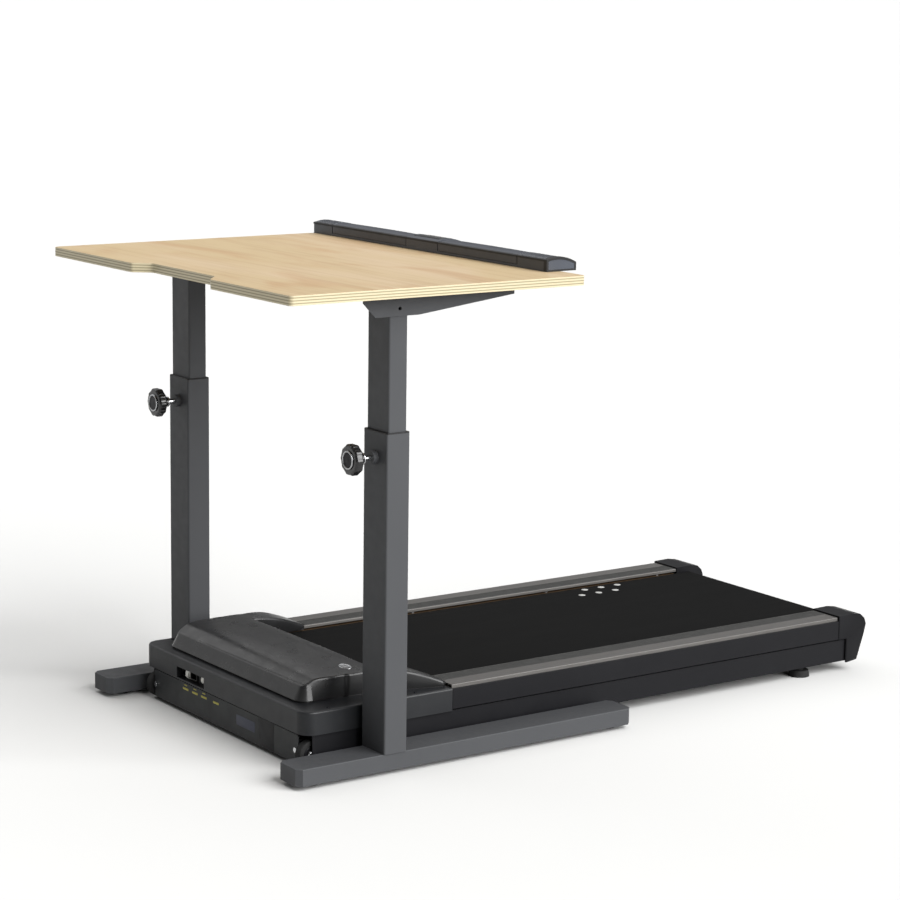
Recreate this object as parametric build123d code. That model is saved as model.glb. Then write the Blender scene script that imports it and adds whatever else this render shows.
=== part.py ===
from build123d import *
import math
import os

# Walking treadmill that stands under a height-adjustable desk with a console bar.
# Millimetres, +Z up, floor at z = 0. X is across and Y runs along the belt, from the motor end to the rear.
# The origin is on the floor, midway between the desktop's front edge and the rear caps.

# ---- driving dimensions: treadmill ----
FRONT = -761.0                 # front face of the treadmill
LENGTH = 1662.0                # front face to the rearmost point of the rear caps
HALF_WIDTH = 366.0
SKIN = 3.0                     # wall of the moulded covers

COVER_BOTTOM = 82.0            # upper front cover
COVER_TOP = 135.0
COVER_REAR = FRONT + 391.0
COVER_CORNER = 34.0

HOOD_HALF = 300.0              # domed motor hood on the cover
HOOD_FRONT = FRONT + 29.0
HOOD_REAR = FRONT + 228.0
HOOD_LEAN = 15.0               # how far the band round its front leans back
HOOD_CORNER = 28.0
HOOD_BAND_TOP = 171.0          # top of that band
HOOD_TOP = 196.0               # crest, at the middle
HOOD_SHOULDER = 188.0          # crest, at each side
WING_REAR = FRONT + 389.0

RAIL_FRONT = FRONT + 392.0
RAIL_REAR = FRONT + 1568.0
RAIL_INNER, RAIL_OUTER = 272.0, 361.0
RAIL_LIP, RAIL_TOP = 133.0, 142.0
CAP_FRONT = FRONT + 1569.0
CAP_INNER = 270.0
SKIRT_FRONT, SKIRT_REAR = FRONT + 24.0, FRONT + 1606.0
SKIRT_TOP = 82.0
COVER_SCREWS = [(side * 350.0, FRONT + y) for side in (-1, 1) for y in (70.0, 300.0)]

BEAM_IN, BEAM_OUT = 310.0, 350.0
BEAM_FRONT, BEAM_REAR = FRONT + 98.0, FRONT + 1628.0
BEAM_BOTTOM, BEAM_TOP = 44.0, 120.0
MEMBER_FRONT, MEMBER_BOTTOM = FRONT + 62.0, 26.0             # tube across the front
STEEL = 2.5                    # wall of the frame's tubes

ROLLER_Z = 104.0
FRONT_ROLLER_Y = FRONT + 185.0
REAR_ROLLER_Y = FRONT + 1605.0
ROLLER_R, ROLLER_BORE_R = 25.0, 20.0
ROLLER_HALF = 268.0
AXLE_R = 8.5
AXLE_HALF = 328.0
RUN_GAP = 0.05                 # radial clearance of a running fit
BELT_GAP = 0.3                 # between a roller or pulley and the belt round it
BELT_THICK = 2.5
BELT_HALF = 265.0
ADJUSTER_X, ADJUSTER_R = 322.0, 4.0

DECK_TOP = ROLLER_Z + ROLLER_R + BELT_GAP - 0.5
DECK_THICK = 16.0
DECK_HALF = 300.0
DECK_FRONT, DECK_REAR = FRONT + 224.0, FRONT + 1566.0
CROSS_BOTTOM, CROSS_TOP = 82.0, 104.0
CROSS_YS = [FRONT + y for y in (300.0, 720.0, 1140.0, 1512.0)]
CROSS_DEPTH = 40.0
DECK_BOLT_X, DECK_BOLT_R = 287.0, 3.0

MOTOR_Y, MOTOR_Z = FRONT + 98.0, 100.0
MOTOR_R = 48.0
MOTOR_X0, MOTOR_X1 = -235.0, -60.0
BED_BOTTOM, BED_TOP = 48.0, 52.0
MOTOR_PULLEY_R, ROLLER_PULLEY_R = 14.0, 32.0
PULLEY_X0, PULLEY_X1 = -288.0, -274.0
DRIVE_BELT_THICK = 3.0

WHEEL_X0, WHEEL_X1 = 329.0, 351.0
WHEEL_Y, WHEEL_Z, WHEEL_R = FRONT + 28.0, 35.0, 31.0
WHEEL_BOLT_R = 5.0
WHEEL_PLATE_X0, WHEEL_PLATE_X1 = 314.0, 318.0
WHEEL_NUT_X = 306.0
PANEL_BOLT = (318.0, 41.0)     # x and z of the bolt at each end of the front panel
FRONT_FEET = [(x, FRONT + 150.0) for x in (-330, 330)]
REAR_FEET = [(x, FRONT + 1472.0) for x in (-330, 330)]

IO_X0, IO_X1, IO_Z0, IO_Z1 = -204.0, -76.0, 86.0, 112.0     # opening for switch and sockets
IO_BACK = FRONT + 17.0                                       # front of the recessed plate
IO_Z = 99.0
JACK_X, ROCKER_X, INLET_X, BREAKER_X = -194.0, -176.0, -148.0, -104.0
ROCKER_TIP = 10.0              # degrees the rocker leans to its off side

# ---- driving dimensions: desk ----
DESK_HALF = 533.0
DESK_FRONT = FRONT - 140.0
DESK_DEPTH = 754.0
DESK_REAR = DESK_FRONT + DESK_DEPTH
DESK_TOP = 1073.0
DESK_THICK = 21.0
DESK_BOTTOM = DESK_TOP - DESK_THICK

NOTCH_OUT = (-150.0, 206.0)    # cable notch in the far edge, at the edge and at its bottom
NOTCH_IN = (-118.0, 160.0)
NOTCH_DEPTH = 38.0

LEG_X = 431.0
LEG_Y = FRONT + 164.0
FOOT_FRONT, FOOT_REAR = FRONT - 82.0, FRONT + 825.0
FOOT_HALF = 42.5
FOOT_BOTTOM, FOOT_TOP = 11.0, 49.0
LEVELLER_YS = [FOOT_FRONT + 55.0, FOOT_REAR - 42.0]
OUTER_X, OUTER_Y, OUTER_WALL = 92.0, 59.0, 2.0
OUTER_TOP = 754.0
TUBE_CORNER = 4.5
UPPER_X, UPPER_Y, UPPER_WALL = 84.0, 47.0, 2.0
UPPER_BOTTOM = 300.0
SLIDE_GAP = 0.3
KNOB_Z = 699.0
KNOB_REAR = LEG_Y - OUTER_Y / 2 - 48.0
KNOB_THICK = 20.0
SCREW_R = 5.0
BRACKET_WALL = 3.0
BRACKET_HALF = UPPER_X / 2 + BRACKET_WALL
BRACKET_LOW = 1006.0
BRACKET_HOLE = (FRONT + 165.0, BRACKET_LOW + 16.0)
SCREW_YS = [FRONT + y for y in (100.0, 210.0, 330.0, 440.0)]
SCREW_OFFSET = 37.0            # desktop screws, from the middle of the leg

BAR_X0, BAR_X1 = -530.0, 440.0          # console bar on the user's edge
BAR_FRONT, BAR_REAR = FRONT + 576.0, FRONT + 656.0
BAR_SLAB = 6.0
MODULE_X0, MODULE_X1 = -115.0, 15.0
LENS_X0, LENS_X1 = MODULE_X0 + 16, MODULE_X1 - 16
LENS_Y0, LENS_Y1 = FRONT + 592.0, FRONT + 628.0
BUTTON_R = 5.5
BUTTON_Y = FRONT + 640.0
BUTTON_NAMES = ("speed_down_button", "stop_button", "start_button", "speed_up_button")
BUTTON_XS = [MODULE_X0 + 29 + 24 * index for index in range(4)]


# ---- shapes used many times ----
def block(x0, x1, y0, y1, z0, z1):
    """A box between two opposite corners."""
    return Pos((x0 + x1) / 2, (y0 + y1) / 2, (z0 + z1) / 2) * Box(x1 - x0, y1 - y0, z1 - z0)


def rod_x(x0, x1, y, z, radius):
    return Pos((x0 + x1) / 2, y, z) * Rot(0, 90, 0) * Cylinder(radius, x1 - x0)


def rod_y(y0, y1, x, z, radius):
    return Pos(x, (y0 + y1) / 2, z) * Rot(90, 0, 0) * Cylinder(radius, y1 - y0)


def rod_z(z0, z1, x, y, radius):
    return Pos(x, y, (z0 + z1) / 2) * Cylinder(radius, z1 - z0)


def hex_z(z0, z1, x, y, across_flats):
    return Pos(x, y, z0) * extrude(RegularPolygon(across_flats / math.sqrt(3), 6), z1 - z0)


def side_profile(points, x0, x1):
    """A closed outline of (y, z) points, extruded from x0 to x1."""
    outline = Plane.YZ.offset(x0) * make_face(Polyline(*points, close=True))
    return extrude(outline, x1 - x0)


def cross_profile(points, y0, y1):
    """A closed outline of (x, z) points, extruded from y0 to y1."""
    outline = Plane.XZ.offset(-y0) * make_face(Polyline(*points, close=True))
    return extrude(outline, -(y1 - y0))


def hollow_box(x0, x1, y0, y1, z0, z1, wall, along):
    """A rectangular tube, open at both ends of the axis named by along."""
    grow = {"x": (-1, wall, wall), "y": (wall, -1, wall), "z": (wall, wall, -1)}[along]
    core = block(x0 + grow[0], x1 - grow[0], y0 + grow[1], y1 - grow[1], z0 + grow[2], z1 - grow[2])
    return block(x0, x1, y0, y1, z0, z1) - core


def round_tube_z(x, y, width, depth, z0, z1, wall, corner):
    """An upright rectangular tube with rounded corners."""
    outer = extrude(RectangleRounded(width, depth, corner), z1 - z0)
    inner = extrude(RectangleRounded(width - 2 * wall, depth - 2 * wall, corner - wall), z1 - z0)
    return Pos(x, y, z0) * (outer - inner)


def loop(y_a, z_a, r_a, y_b, z_b, r_b, x0, x1):
    """The solid that fills a tight loop round two circles whose axes run along X."""
    distance = math.hypot(y_b - y_a, z_b - z_a)
    heading = math.atan2(z_b - z_a, y_b - y_a)
    spread = math.acos((r_a - r_b) / distance)
    corners = []
    for y, z, radius, signs in ((y_a, z_a, r_a, (1, -1)), (y_b, z_b, r_b, (-1, 1))):
        for sign in signs:
            angle = heading + sign * spread
            corners.append((y + radius * math.cos(angle), z + radius * math.sin(angle)))
    ends = rod_x(x0, x1, y_a, z_a, r_a) + rod_x(x0, x1, y_b, z_b, r_b)
    return ends + side_profile(corners, x0, x1)


def mirrored(shape):
    return mirror(shape, about=Plane.YZ)


def both(shape):
    """A piece on the right and its mirror image on the left."""
    return [shape, mirrored(shape)]


def save(node, *shapes):
    solids = [solid for shape in shapes for solid in shape.solids()]
    whole = solids[0] if len(solids) == 1 else Compound(children=solids)
    export_step(whole, f"parts/{node}.step")


# ---- treadmill frame ----
def side_beam():
    beam = hollow_box(BEAM_IN, BEAM_OUT, BEAM_FRONT, BEAM_REAR, BEAM_BOTTOM, BEAM_TOP, STEEL, "y")
    end_plate = block(BEAM_IN + STEEL, BEAM_OUT - STEEL, BEAM_REAR - 4, BEAM_REAR,
                      BEAM_BOTTOM + STEEL, BEAM_TOP - STEEL)
    beam += end_plate
    for y in (FRONT_ROLLER_Y, REAR_ROLLER_Y):
        beam -= rod_x(BEAM_IN - 1, BEAM_IN + STEEL + 1, y, ROLLER_Z, AXLE_R + 0.1)
    return beam - rod_y(BEAM_REAR - 5, BEAM_REAR + 1, ADJUSTER_X, ROLLER_Z, ADJUSTER_R + 0.2)


def cross_tube(y):
    tube = hollow_box(-BEAM_IN, BEAM_IN, y - CROSS_DEPTH / 2, y + CROSS_DEPTH / 2,
                      CROSS_BOTTOM, CROSS_TOP, 2.0, "x")
    for x in (-DECK_BOLT_X, DECK_BOLT_X):
        tube -= rod_z(CROSS_BOTTOM - 1, CROSS_TOP + 1, x, y, DECK_BOLT_R + 0.2)
    return tube


def front_member():
    """The tube across the front, with a welded plate at each end for a transport wheel."""
    member = hollow_box(-345, 345, MEMBER_FRONT, BEAM_FRONT, MEMBER_BOTTOM, BED_BOTTOM, STEEL, "x")
    plate = block(WHEEL_PLATE_X0, WHEEL_PLATE_X1, FRONT + 17, MEMBER_FRONT, 18, 62)
    plate -= rod_x(WHEEL_PLATE_X0 - 1, WHEEL_PLATE_X1 + 1, WHEEL_Y, WHEEL_Z, WHEEL_BOLT_R + 0.1)
    return [member, *both(plate)]


def motor_bed():
    return block(-BEAM_IN, BEAM_IN, MEMBER_FRONT, FRONT + 152, BED_BOTTOM, BED_TOP)


def deck_board():
    deck = block(-DECK_HALF, DECK_HALF, DECK_FRONT, DECK_REAR, DECK_TOP - DECK_THICK, DECK_TOP)
    for y in CROSS_YS:
        for x in (-DECK_BOLT_X, DECK_BOLT_X):
            deck -= rod_z(DECK_TOP - DECK_THICK - 1, DECK_TOP + 1, x, y, DECK_BOLT_R + 0.2)
    return deck


def deck_cushion(x, y):
    body = rod_z(CROSS_TOP, DECK_TOP - DECK_THICK, x, y, 12)
    return body - rod_z(CROSS_TOP - 1, DECK_TOP, x, y, DECK_BOLT_R + 0.2)


def deck_bolt(x, y):
    shank = rod_z(CROSS_BOTTOM - 1, DECK_TOP, x, y, DECK_BOLT_R)
    return shank + rod_z(DECK_TOP, DECK_TOP + 2.6, x, y, 6)


# ---- running gear ----
def walking_belt():
    inner = ROLLER_R + BELT_GAP
    ends = (FRONT_ROLLER_Y, ROLLER_Z, REAR_ROLLER_Y, ROLLER_Z)
    outer_loop = loop(ends[0], ends[1], inner + BELT_THICK, ends[2], ends[3], inner + BELT_THICK,
                      -BELT_HALF, BELT_HALF)
    inner_loop = loop(ends[0], ends[1], inner, ends[2], ends[3], inner, -BELT_HALF - 1, BELT_HALF + 1)
    return outer_loop - inner_loop


def roller_axle(y, adjusted):
    axle = rod_x(-AXLE_HALF, AXLE_HALF, y, ROLLER_Z, AXLE_R)
    if adjusted:
        for x in (-ADJUSTER_X, ADJUSTER_X):
            axle -= rod_y(y - 20, y + 20, x, ROLLER_Z, ADJUSTER_R + 0.2)
    return axle


def belt_adjuster():
    """A long socket-head screw that pulls one end of the rear axle."""
    screw = rod_y(REAR_ROLLER_Y - 18, BEAM_REAR + 1, ADJUSTER_X, ROLLER_Z, ADJUSTER_R)
    head = rod_y(BEAM_REAR, BEAM_REAR + 8, ADJUSTER_X, ROLLER_Z, 6.5)
    socket = Pos(ADJUSTER_X, BEAM_REAR + 8, ROLLER_Z) * Rot(90, 0, 0) * Pos(0, 0, -0.1)
    return screw + head - socket * extrude(RegularPolygon(3.4, 6), 5, both=True)


def roller_bearing(x0, y):
    ring = rod_x(x0, x0 + 12, y, ROLLER_Z, ROLLER_BORE_R - RUN_GAP)
    return ring - rod_x(x0 - 1, x0 + 13, y, ROLLER_Z, AXLE_R + 0.02)


def roller(y):
    tube = rod_x(-ROLLER_HALF, ROLLER_HALF, y, ROLLER_Z, ROLLER_R)
    return tube - rod_x(-ROLLER_HALF - 1, ROLLER_HALF + 1, y, ROLLER_Z, ROLLER_BORE_R)


def driven_roller():
    """The front roller, with its grooved pulley at the left end."""
    pulley = rod_x(PULLEY_X0, PULLEY_X1, FRONT_ROLLER_Y, ROLLER_Z, ROLLER_PULLEY_R)
    neck = rod_x(PULLEY_X1, -ROLLER_HALF, FRONT_ROLLER_Y, ROLLER_Z, ROLLER_R)
    bore = rod_x(PULLEY_X0 - 1, -ROLLER_HALF + 1, FRONT_ROLLER_Y, ROLLER_Z, AXLE_R + 1)
    return roller(FRONT_ROLLER_Y) + (pulley + neck - bore)


def motor_rotor():
    """Shaft, flywheel and small pulley."""
    shaft = rod_x(PULLEY_X0 - 4, MOTOR_X0 + 9, MOTOR_Y, MOTOR_Z, 6)
    flywheel = rod_x(-264, -246, MOTOR_Y, MOTOR_Z, 44)
    for turn in range(6):
        angle = math.radians(60 * turn)
        flywheel -= rod_x(-265, -245, MOTOR_Y + 29 * math.cos(angle), MOTOR_Z + 29 * math.sin(angle), 8)
    return shaft + flywheel + rod_x(PULLEY_X0, PULLEY_X1, MOTOR_Y, MOTOR_Z, MOTOR_PULLEY_R)


def drive_motor():
    can = rod_x(MOTOR_X0 + 12, MOTOR_X1 - 12, MOTOR_Y, MOTOR_Z, MOTOR_R)
    can += rod_x(MOTOR_X0, MOTOR_X1, MOTOR_Y, MOTOR_Z, MOTOR_R - 5)
    for x0 in (MOTOR_X0 + 22, MOTOR_X1 - 44):
        can += block(x0, x0 + 22, MOTOR_Y - 30, MOTOR_Y + 30, BED_TOP, MOTOR_Z - 20)
    return can - rod_x(MOTOR_X0 - 1, MOTOR_X0 + 11, MOTOR_Y, MOTOR_Z, 6 + RUN_GAP)


def drive_belt():
    outer = loop(MOTOR_Y, MOTOR_Z, MOTOR_PULLEY_R + BELT_GAP + DRIVE_BELT_THICK,
                 FRONT_ROLLER_Y, ROLLER_Z, ROLLER_PULLEY_R + BELT_GAP + DRIVE_BELT_THICK,
                 PULLEY_X0 + 1, PULLEY_X1 - 1)
    inner = loop(MOTOR_Y, MOTOR_Z, MOTOR_PULLEY_R + BELT_GAP,
                 FRONT_ROLLER_Y, ROLLER_Z, ROLLER_PULLEY_R + BELT_GAP,
                 PULLEY_X0, PULLEY_X1)
    return outer - inner


def motor_controller():
    """Finned heat sink with the power board's cover on it."""
    y0, y1 = FRONT + 66, FRONT + 146
    unit = block(60, 260, y0, y1, BED_TOP, BED_TOP + 8)
    unit += block(70, 180, y0 + 8, y1 - 8, BED_TOP + 8, BED_TOP + 48)
    for index in range(8):
        x = 192 + 8 * index
        unit += block(x, x + 2.5, y0 + 4, y1 - 4, BED_TOP + 8, BED_TOP + 36)
    return unit


# ---- treadmill covers and rails ----
def cover_outline(inset):
    """The front cover's plan: square at the rear, rounded at the two front corners."""
    width = 2 * (HALF_WIDTH - inset)
    y0, y1 = FRONT + inset, COVER_REAR
    plan = Pos(0, (y0 + y1) / 2) * Rectangle(width, y1 - y0)
    front_corners = plan.vertices().group_by(Axis.Y)[0]
    return fillet(front_corners, COVER_CORNER - inset)


def front_cover():
    shell = Pos(0, 0, COVER_BOTTOM) * extrude(cover_outline(0), COVER_TOP - COVER_BOTTOM)
    rim = shell.faces().sort_by(Axis.Z)[-1].edges().sort_by(Axis.Y)[:3]
    shell = fillet(rim, 5)
    shell -= Pos(0, 0, COVER_BOTTOM - 1) * extrude(cover_outline(SKIN), COVER_TOP - COVER_BOTTOM + 1 - SKIN)
    shell -= block(-292, 292, FRONT + 50, FRONT + 229, COVER_TOP - 8, COVER_TOP + 1)
    shell -= block(-RAIL_INNER, RAIL_INNER, FRONT + 228, COVER_REAR + 1, COVER_BOTTOM - 1, COVER_TOP + 1)
    shell -= block(IO_X0, IO_X1, FRONT - 1, FRONT + SKIN + 1, IO_Z0, IO_Z1)
    for x, y in COVER_SCREWS:
        shell -= rod_z(COVER_TOP - SKIN - 1, COVER_TOP + 1, x, y, 2.2)
    return shell


def cover_screw(x, y):
    shank = rod_z(BEAM_TOP, COVER_TOP, x, y, 2.0)
    return shank + Pos(x, y, COVER_TOP) * Pos(0, 0, 0.9) * Cone(4.2, 3.0, 1.8)


def dome(inset):
    """The hood's crowned body: walls drawn in by inset, top lowered by inset."""
    y0, y1, half = HOOD_FRONT + inset, HOOD_REAR - inset, HOOD_HALF - inset
    rise = [(y0 + HOOD_LEAN, HOOD_BAND_TOP - inset), (HOOD_FRONT + 46, 186 - inset),
            (HOOD_FRONT + 96, 195 - inset), (y1, HOOD_TOP + 1 - inset)]
    sides = Polyline(rise[-1], (y1, COVER_TOP), (y0, COVER_TOP), rise[0])
    along = extrude(Plane.YZ * make_face(sides + Spline(*rise)), half, both=True)
    shoulder, crest = HOOD_SHOULDER - inset, HOOD_TOP - inset
    crown = ThreePointArc((-half, shoulder), (0, crest), (half, shoulder))
    walls = Polyline((half, shoulder), (half, COVER_TOP), (-half, COVER_TOP), (-half, shoulder))
    across = extrude(Plane.XZ.offset(-y0) * make_face(crown + walls), -(y1 - y0))
    plan = Pos(0, (y0 + y1) / 2) * Rectangle(2 * half, y1 - y0)
    plan = fillet(plan.vertices().group_by(Axis.Y)[0], HOOD_CORNER - inset)
    return along & across & (Pos(0, 0, COVER_TOP) * extrude(plan, 80))


# rows of the shoulder: distance from the front, inner edge, outer edge, inner height, outer height
WING_ROWS = ((221.0, 243.0, 300.0, 189.0, 186.0),
             (305.0, 250.0, 328.0, 177.0, 172.0),
             (388.0, 262.0, 352.0, 146.0, 144.0))


def wing(inset):
    """The shoulder that runs back from the dome to the foot rail, on the right."""
    low = COVER_TOP + 0.2
    sections = []
    for distance, inner, outer, inner_top, outer_top in WING_ROWS:
        points = [(inner + inset, low), (outer - inset, low), (outer - inset, outer_top - 5 - inset / 2),
                  (outer - 8 - inset, outer_top - inset), (inner + inset, inner_top - inset)]
        sections.append(Plane.XZ.offset(-(FRONT + distance)) * make_face(Polyline(*points, close=True)))
    return loft(sections, ruled=True)


def motor_hood():
    outer = dome(0) + wing(0) + mirrored(wing(0))
    end_wall = block(-HALF_WIDTH, HALF_WIDTH, WING_REAR - SKIN - 1, WING_REAR, COVER_TOP, HOOD_TOP)
    link = block(246, 297, HOOD_REAR - 12, HOOD_REAR + 12, COVER_TOP - 1, 172)
    inner = dome(SKIN) + (wing(SKIN) - end_wall) + link
    inner += mirrored(wing(SKIN) - end_wall) + mirrored(link)
    sole = block(-HOOD_HALF + SKIN, HOOD_HALF - SKIN, HOOD_FRONT + 48, HOOD_REAR - SKIN,
                 COVER_TOP - 1, COVER_TOP + 5)
    return outer - inner - sole


def front_panel():
    """The low panel under the front cover, with two tabs that reach back to the frame."""
    panel = block(-326, 326, FRONT + 8, FRONT + 11, 10, 76)
    panel = fillet(panel.edges().filter_by(Axis.Y), 5)
    for x in (-PANEL_BOLT[0], PANEL_BOLT[0]):
        panel -= rod_y(FRONT + 7, FRONT + 12, x, PANEL_BOLT[1], 2.6)
    for tab in both(block(210, 270, FRONT + 11, MEMBER_FRONT, 36, 39)):
        panel += tab
    return panel


def foot_rail():
    """An aluminium extrusion: a top plate with a lip along each edge, on a rib over the beam."""
    top, inner, outer = RAIL_TOP, RAIL_INNER, RAIL_OUTER
    points = [(outer, RAIL_LIP), (outer, top - 1), (outer - 1, top), (inner + 1, top), (inner, top - 1),
              (inner, top - 7), (inner + SKIN, top - 7), (inner + SKIN, top - SKIN),
              (outer - SKIN, top - SKIN), (outer - SKIN, RAIL_LIP)]
    rail = cross_profile(points, RAIL_FRONT, RAIL_REAR)
    return rail + block(343, 346, RAIL_FRONT, RAIL_REAR, BEAM_TOP, top - SKIN + 0.5)


def grip_strip():
    strip = block(277, 318, RAIL_FRONT + 4, RAIL_REAR - 4, RAIL_TOP, RAIL_TOP + 1.4)
    return chamfer(strip.faces().sort_by(Axis.Z)[-1].edges(), 0.5)


def side_skirt():
    """The recessed lower panel, clipped to the beam's side and under it."""
    top = SKIRT_TOP
    points = [(360, 27), (360, top), (BEAM_OUT, top), (BEAM_OUT, top - SKIN), (357, top - SKIN),
              (357, 30), (346, 30), (346, 27)]
    skirt = cross_profile(points, SKIRT_FRONT, SKIRT_REAR)
    return skirt - block(WHEEL_X0, 357, SKIRT_FRONT - 1, MEMBER_FRONT, 26, top + 1)


def side_panel():
    """The upper panel between front cover and rear cap, hung from the foot rail's lip."""
    outer, low = HALF_WIDTH, SKIRT_TOP + 4
    points = [(outer, low), (outer, RAIL_LIP), (BEAM_OUT, RAIL_LIP), (BEAM_OUT, RAIL_LIP - SKIN),
              (outer - SKIN, RAIL_LIP - SKIN), (outer - SKIN, low)]
    return cross_profile(points, RAIL_FRONT, RAIL_REAR)


def rear_cap():
    """The moulded corner round the beam's end, deeper outside than over the belt."""
    back = FRONT + LENGTH
    outline = [(CAP_FRONT, 84.5), (CAP_FRONT, 146), (back - 46, 147), (back - 20, 143), (back - 6, 131),
               (back, 116), (back - 6, 92), (back - 28, 27), (back - 60, 22.5), (back - 66, 23.5),
               (back - 66, 84.5)]
    body = side_profile(outline, CAP_INNER, HALF_WIDTH + 1)
    body = fillet(body.edges().filter_by(Axis.X).group_by(Axis.Y)[-1], 8)
    outer_rim = body.faces().sort_by(Axis.X)[-1].edges()
    body = chamfer(outer_rim, 2)
    hollow = [(CAP_FRONT - 1, 20), (CAP_FRONT - 1, 142), (back - 46, 143), (back - 23, 139.5),
              (back - 10, 129), (back - 4.5, 116), (back - 10, 92), (back - 31, 20)]
    body -= side_profile(hollow, CAP_INNER + SKIN, HALF_WIDTH - 2.5)
    body -= block(CAP_INNER - 1, CAP_INNER + SKIN + 1, REAR_ROLLER_Y - 16, REAR_ROLLER_Y + 16,
                  ROLLER_Z - AXLE_R - 1, ROLLER_Z + AXLE_R + 1)
    return body - rod_y(back - 25, back + 1, ADJUSTER_X, ROLLER_Z, 8)


def io_plate():
    """The tray behind the opening: holes for inlet, rocker and reset button, and a data socket."""
    tray = block(IO_X0 - 3, IO_X1 + 3, FRONT + SKIN, IO_BACK + 3, IO_Z0 - 2, IO_Z1 + 2)
    tray -= block(IO_X0, IO_X1, FRONT, IO_BACK, IO_Z0, IO_Z1)
    tray -= block(INLET_X - 14.2, INLET_X + 14.2, IO_BACK - 1, IO_BACK + 4, IO_Z - 10.2, IO_Z + 10.2)
    tray -= block(ROCKER_X - 7, ROCKER_X + 7, IO_BACK - 1, IO_BACK + 4, IO_Z - 10, IO_Z + 10)
    tray -= rod_y(IO_BACK - 3, IO_BACK + 4, BREAKER_X, IO_Z, 4.3)
    collar = rod_y(IO_BACK - 3, IO_BACK, BREAKER_X, IO_Z, 7)
    tray += collar - rod_y(IO_BACK - 4, IO_BACK + 1, BREAKER_X, IO_Z, 4.3)
    jack = block(JACK_X - 8, JACK_X + 8, IO_BACK - 3, IO_BACK + 14, IO_Z - 10, IO_Z + 10)
    return tray + jack - block(JACK_X - 6, JACK_X + 6, IO_BACK - 4, IO_BACK + 12, IO_Z - 7, IO_Z + 7)


def power_inlet():
    """A three-pin appliance inlet."""
    body = block(INLET_X - 17, INLET_X + 17, IO_BACK - 2.5, IO_BACK, IO_Z - 11.5, IO_Z + 11.5)
    body += block(INLET_X - 14, INLET_X + 14, IO_BACK, IO_BACK + 26, IO_Z - 10, IO_Z + 10)
    body -= block(INLET_X - 12, INLET_X + 12, IO_BACK - 3, IO_BACK + 22, IO_Z - 8, IO_Z + 8)
    for dx, dz in ((-7, -1.5), (0, 2.5), (7, -1.5)):
        x, z = INLET_X + dx, IO_Z + dz
        body += block(x - 1, x + 1, IO_BACK + 5, IO_BACK + 23, z - 2, z + 2)
    return body


def rocker_switch():
    """Shown tipped to its off side."""
    key = block(-6, 6, -7, 4, -8.5, 8.5)
    key = fillet(key.edges().filter_by(Axis.X), 1.5)
    return Pos(ROCKER_X, IO_BACK + 1.5, IO_Z) * Rot(-ROCKER_TIP, 0, 0) * key


def breaker_button():
    button = rod_y(IO_BACK - 5, IO_BACK + 16, BREAKER_X, IO_Z, 3.9)
    return chamfer(button.edges().group_by(Axis.Y)[0], 0.8)


# ---- wheels and feet of the treadmill ----
def transport_wheel():
    tyre = rod_x(WHEEL_X0, WHEEL_X1, WHEEL_Y, WHEEL_Z, WHEEL_R)
    tyre = fillet(tyre.edges(), 4)
    for x0, x1 in ((WHEEL_X0 - 1, WHEEL_X0 + 5), (WHEEL_X1 - 5, WHEEL_X1 + 1)):
        tyre -= rod_x(x0, x1, WHEEL_Y, WHEEL_Z, 20) - rod_x(x0, x1, WHEEL_Y, WHEEL_Z, 10)
    return tyre - rod_x(WHEEL_X0 - 1, WHEEL_X1 + 1, WHEEL_Y, WHEEL_Z, WHEEL_BOLT_R + RUN_GAP)


def wheel_bolt():
    """Axle bolt with its head outside, a spacer against the plate and a nut behind it."""
    bolt = rod_x(WHEEL_NUT_X - 6, WHEEL_X1 + 2, WHEEL_Y, WHEEL_Z, WHEEL_BOLT_R)
    bolt += rod_x(WHEEL_PLATE_X1, WHEEL_X0 - 0.5, WHEEL_Y, WHEEL_Z, 8)
    nut = Pos(WHEEL_NUT_X, WHEEL_Y, WHEEL_Z) * Rot(0, 90, 0) * extrude(
        RegularPolygon(9, 6), WHEEL_PLATE_X0 - WHEEL_NUT_X)
    head = Pos(WHEEL_X1 + 0.5, WHEEL_Y, WHEEL_Z) * Rot(0, 90, 0) * Pos(0, 0, 1.5) * Cone(9, 7, 3)
    return bolt + nut + head


def panel_bolt():
    """Round-headed bolt through the front panel, with its nut behind."""
    x, z = PANEL_BOLT
    bolt = rod_y(FRONT + 4, FRONT + 8, x, z, 6) + rod_y(FRONT + 8, FRONT + 16, x, z, 2.5)
    return bolt + rod_y(FRONT + 11, FRONT + 14, x, z, 5)


def rubber_foot(x, y):
    """A rubber pad on a stem that reaches up to the beam."""
    foot = Pos(x, y, 8) * Cone(27, 24, 16)
    return foot + rod_z(15, BEAM_BOTTOM, x, y, 12)


# ---- desk: what stands still ----
def foot_plan(inset):
    """Long bar with both ends chamfered in plan."""
    half, cut = FOOT_HALF - inset, 12.0
    y0, y1 = FOOT_FRONT + inset, FOOT_REAR - inset
    points = [(-half, y0 + cut), (-half + cut, y0), (half - cut, y0), (half, y0 + cut),
              (half, y1 - cut), (half - cut, y1), (-half + cut, y1), (-half, y1 - cut)]
    return make_face(Polyline(*points, close=True))


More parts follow.
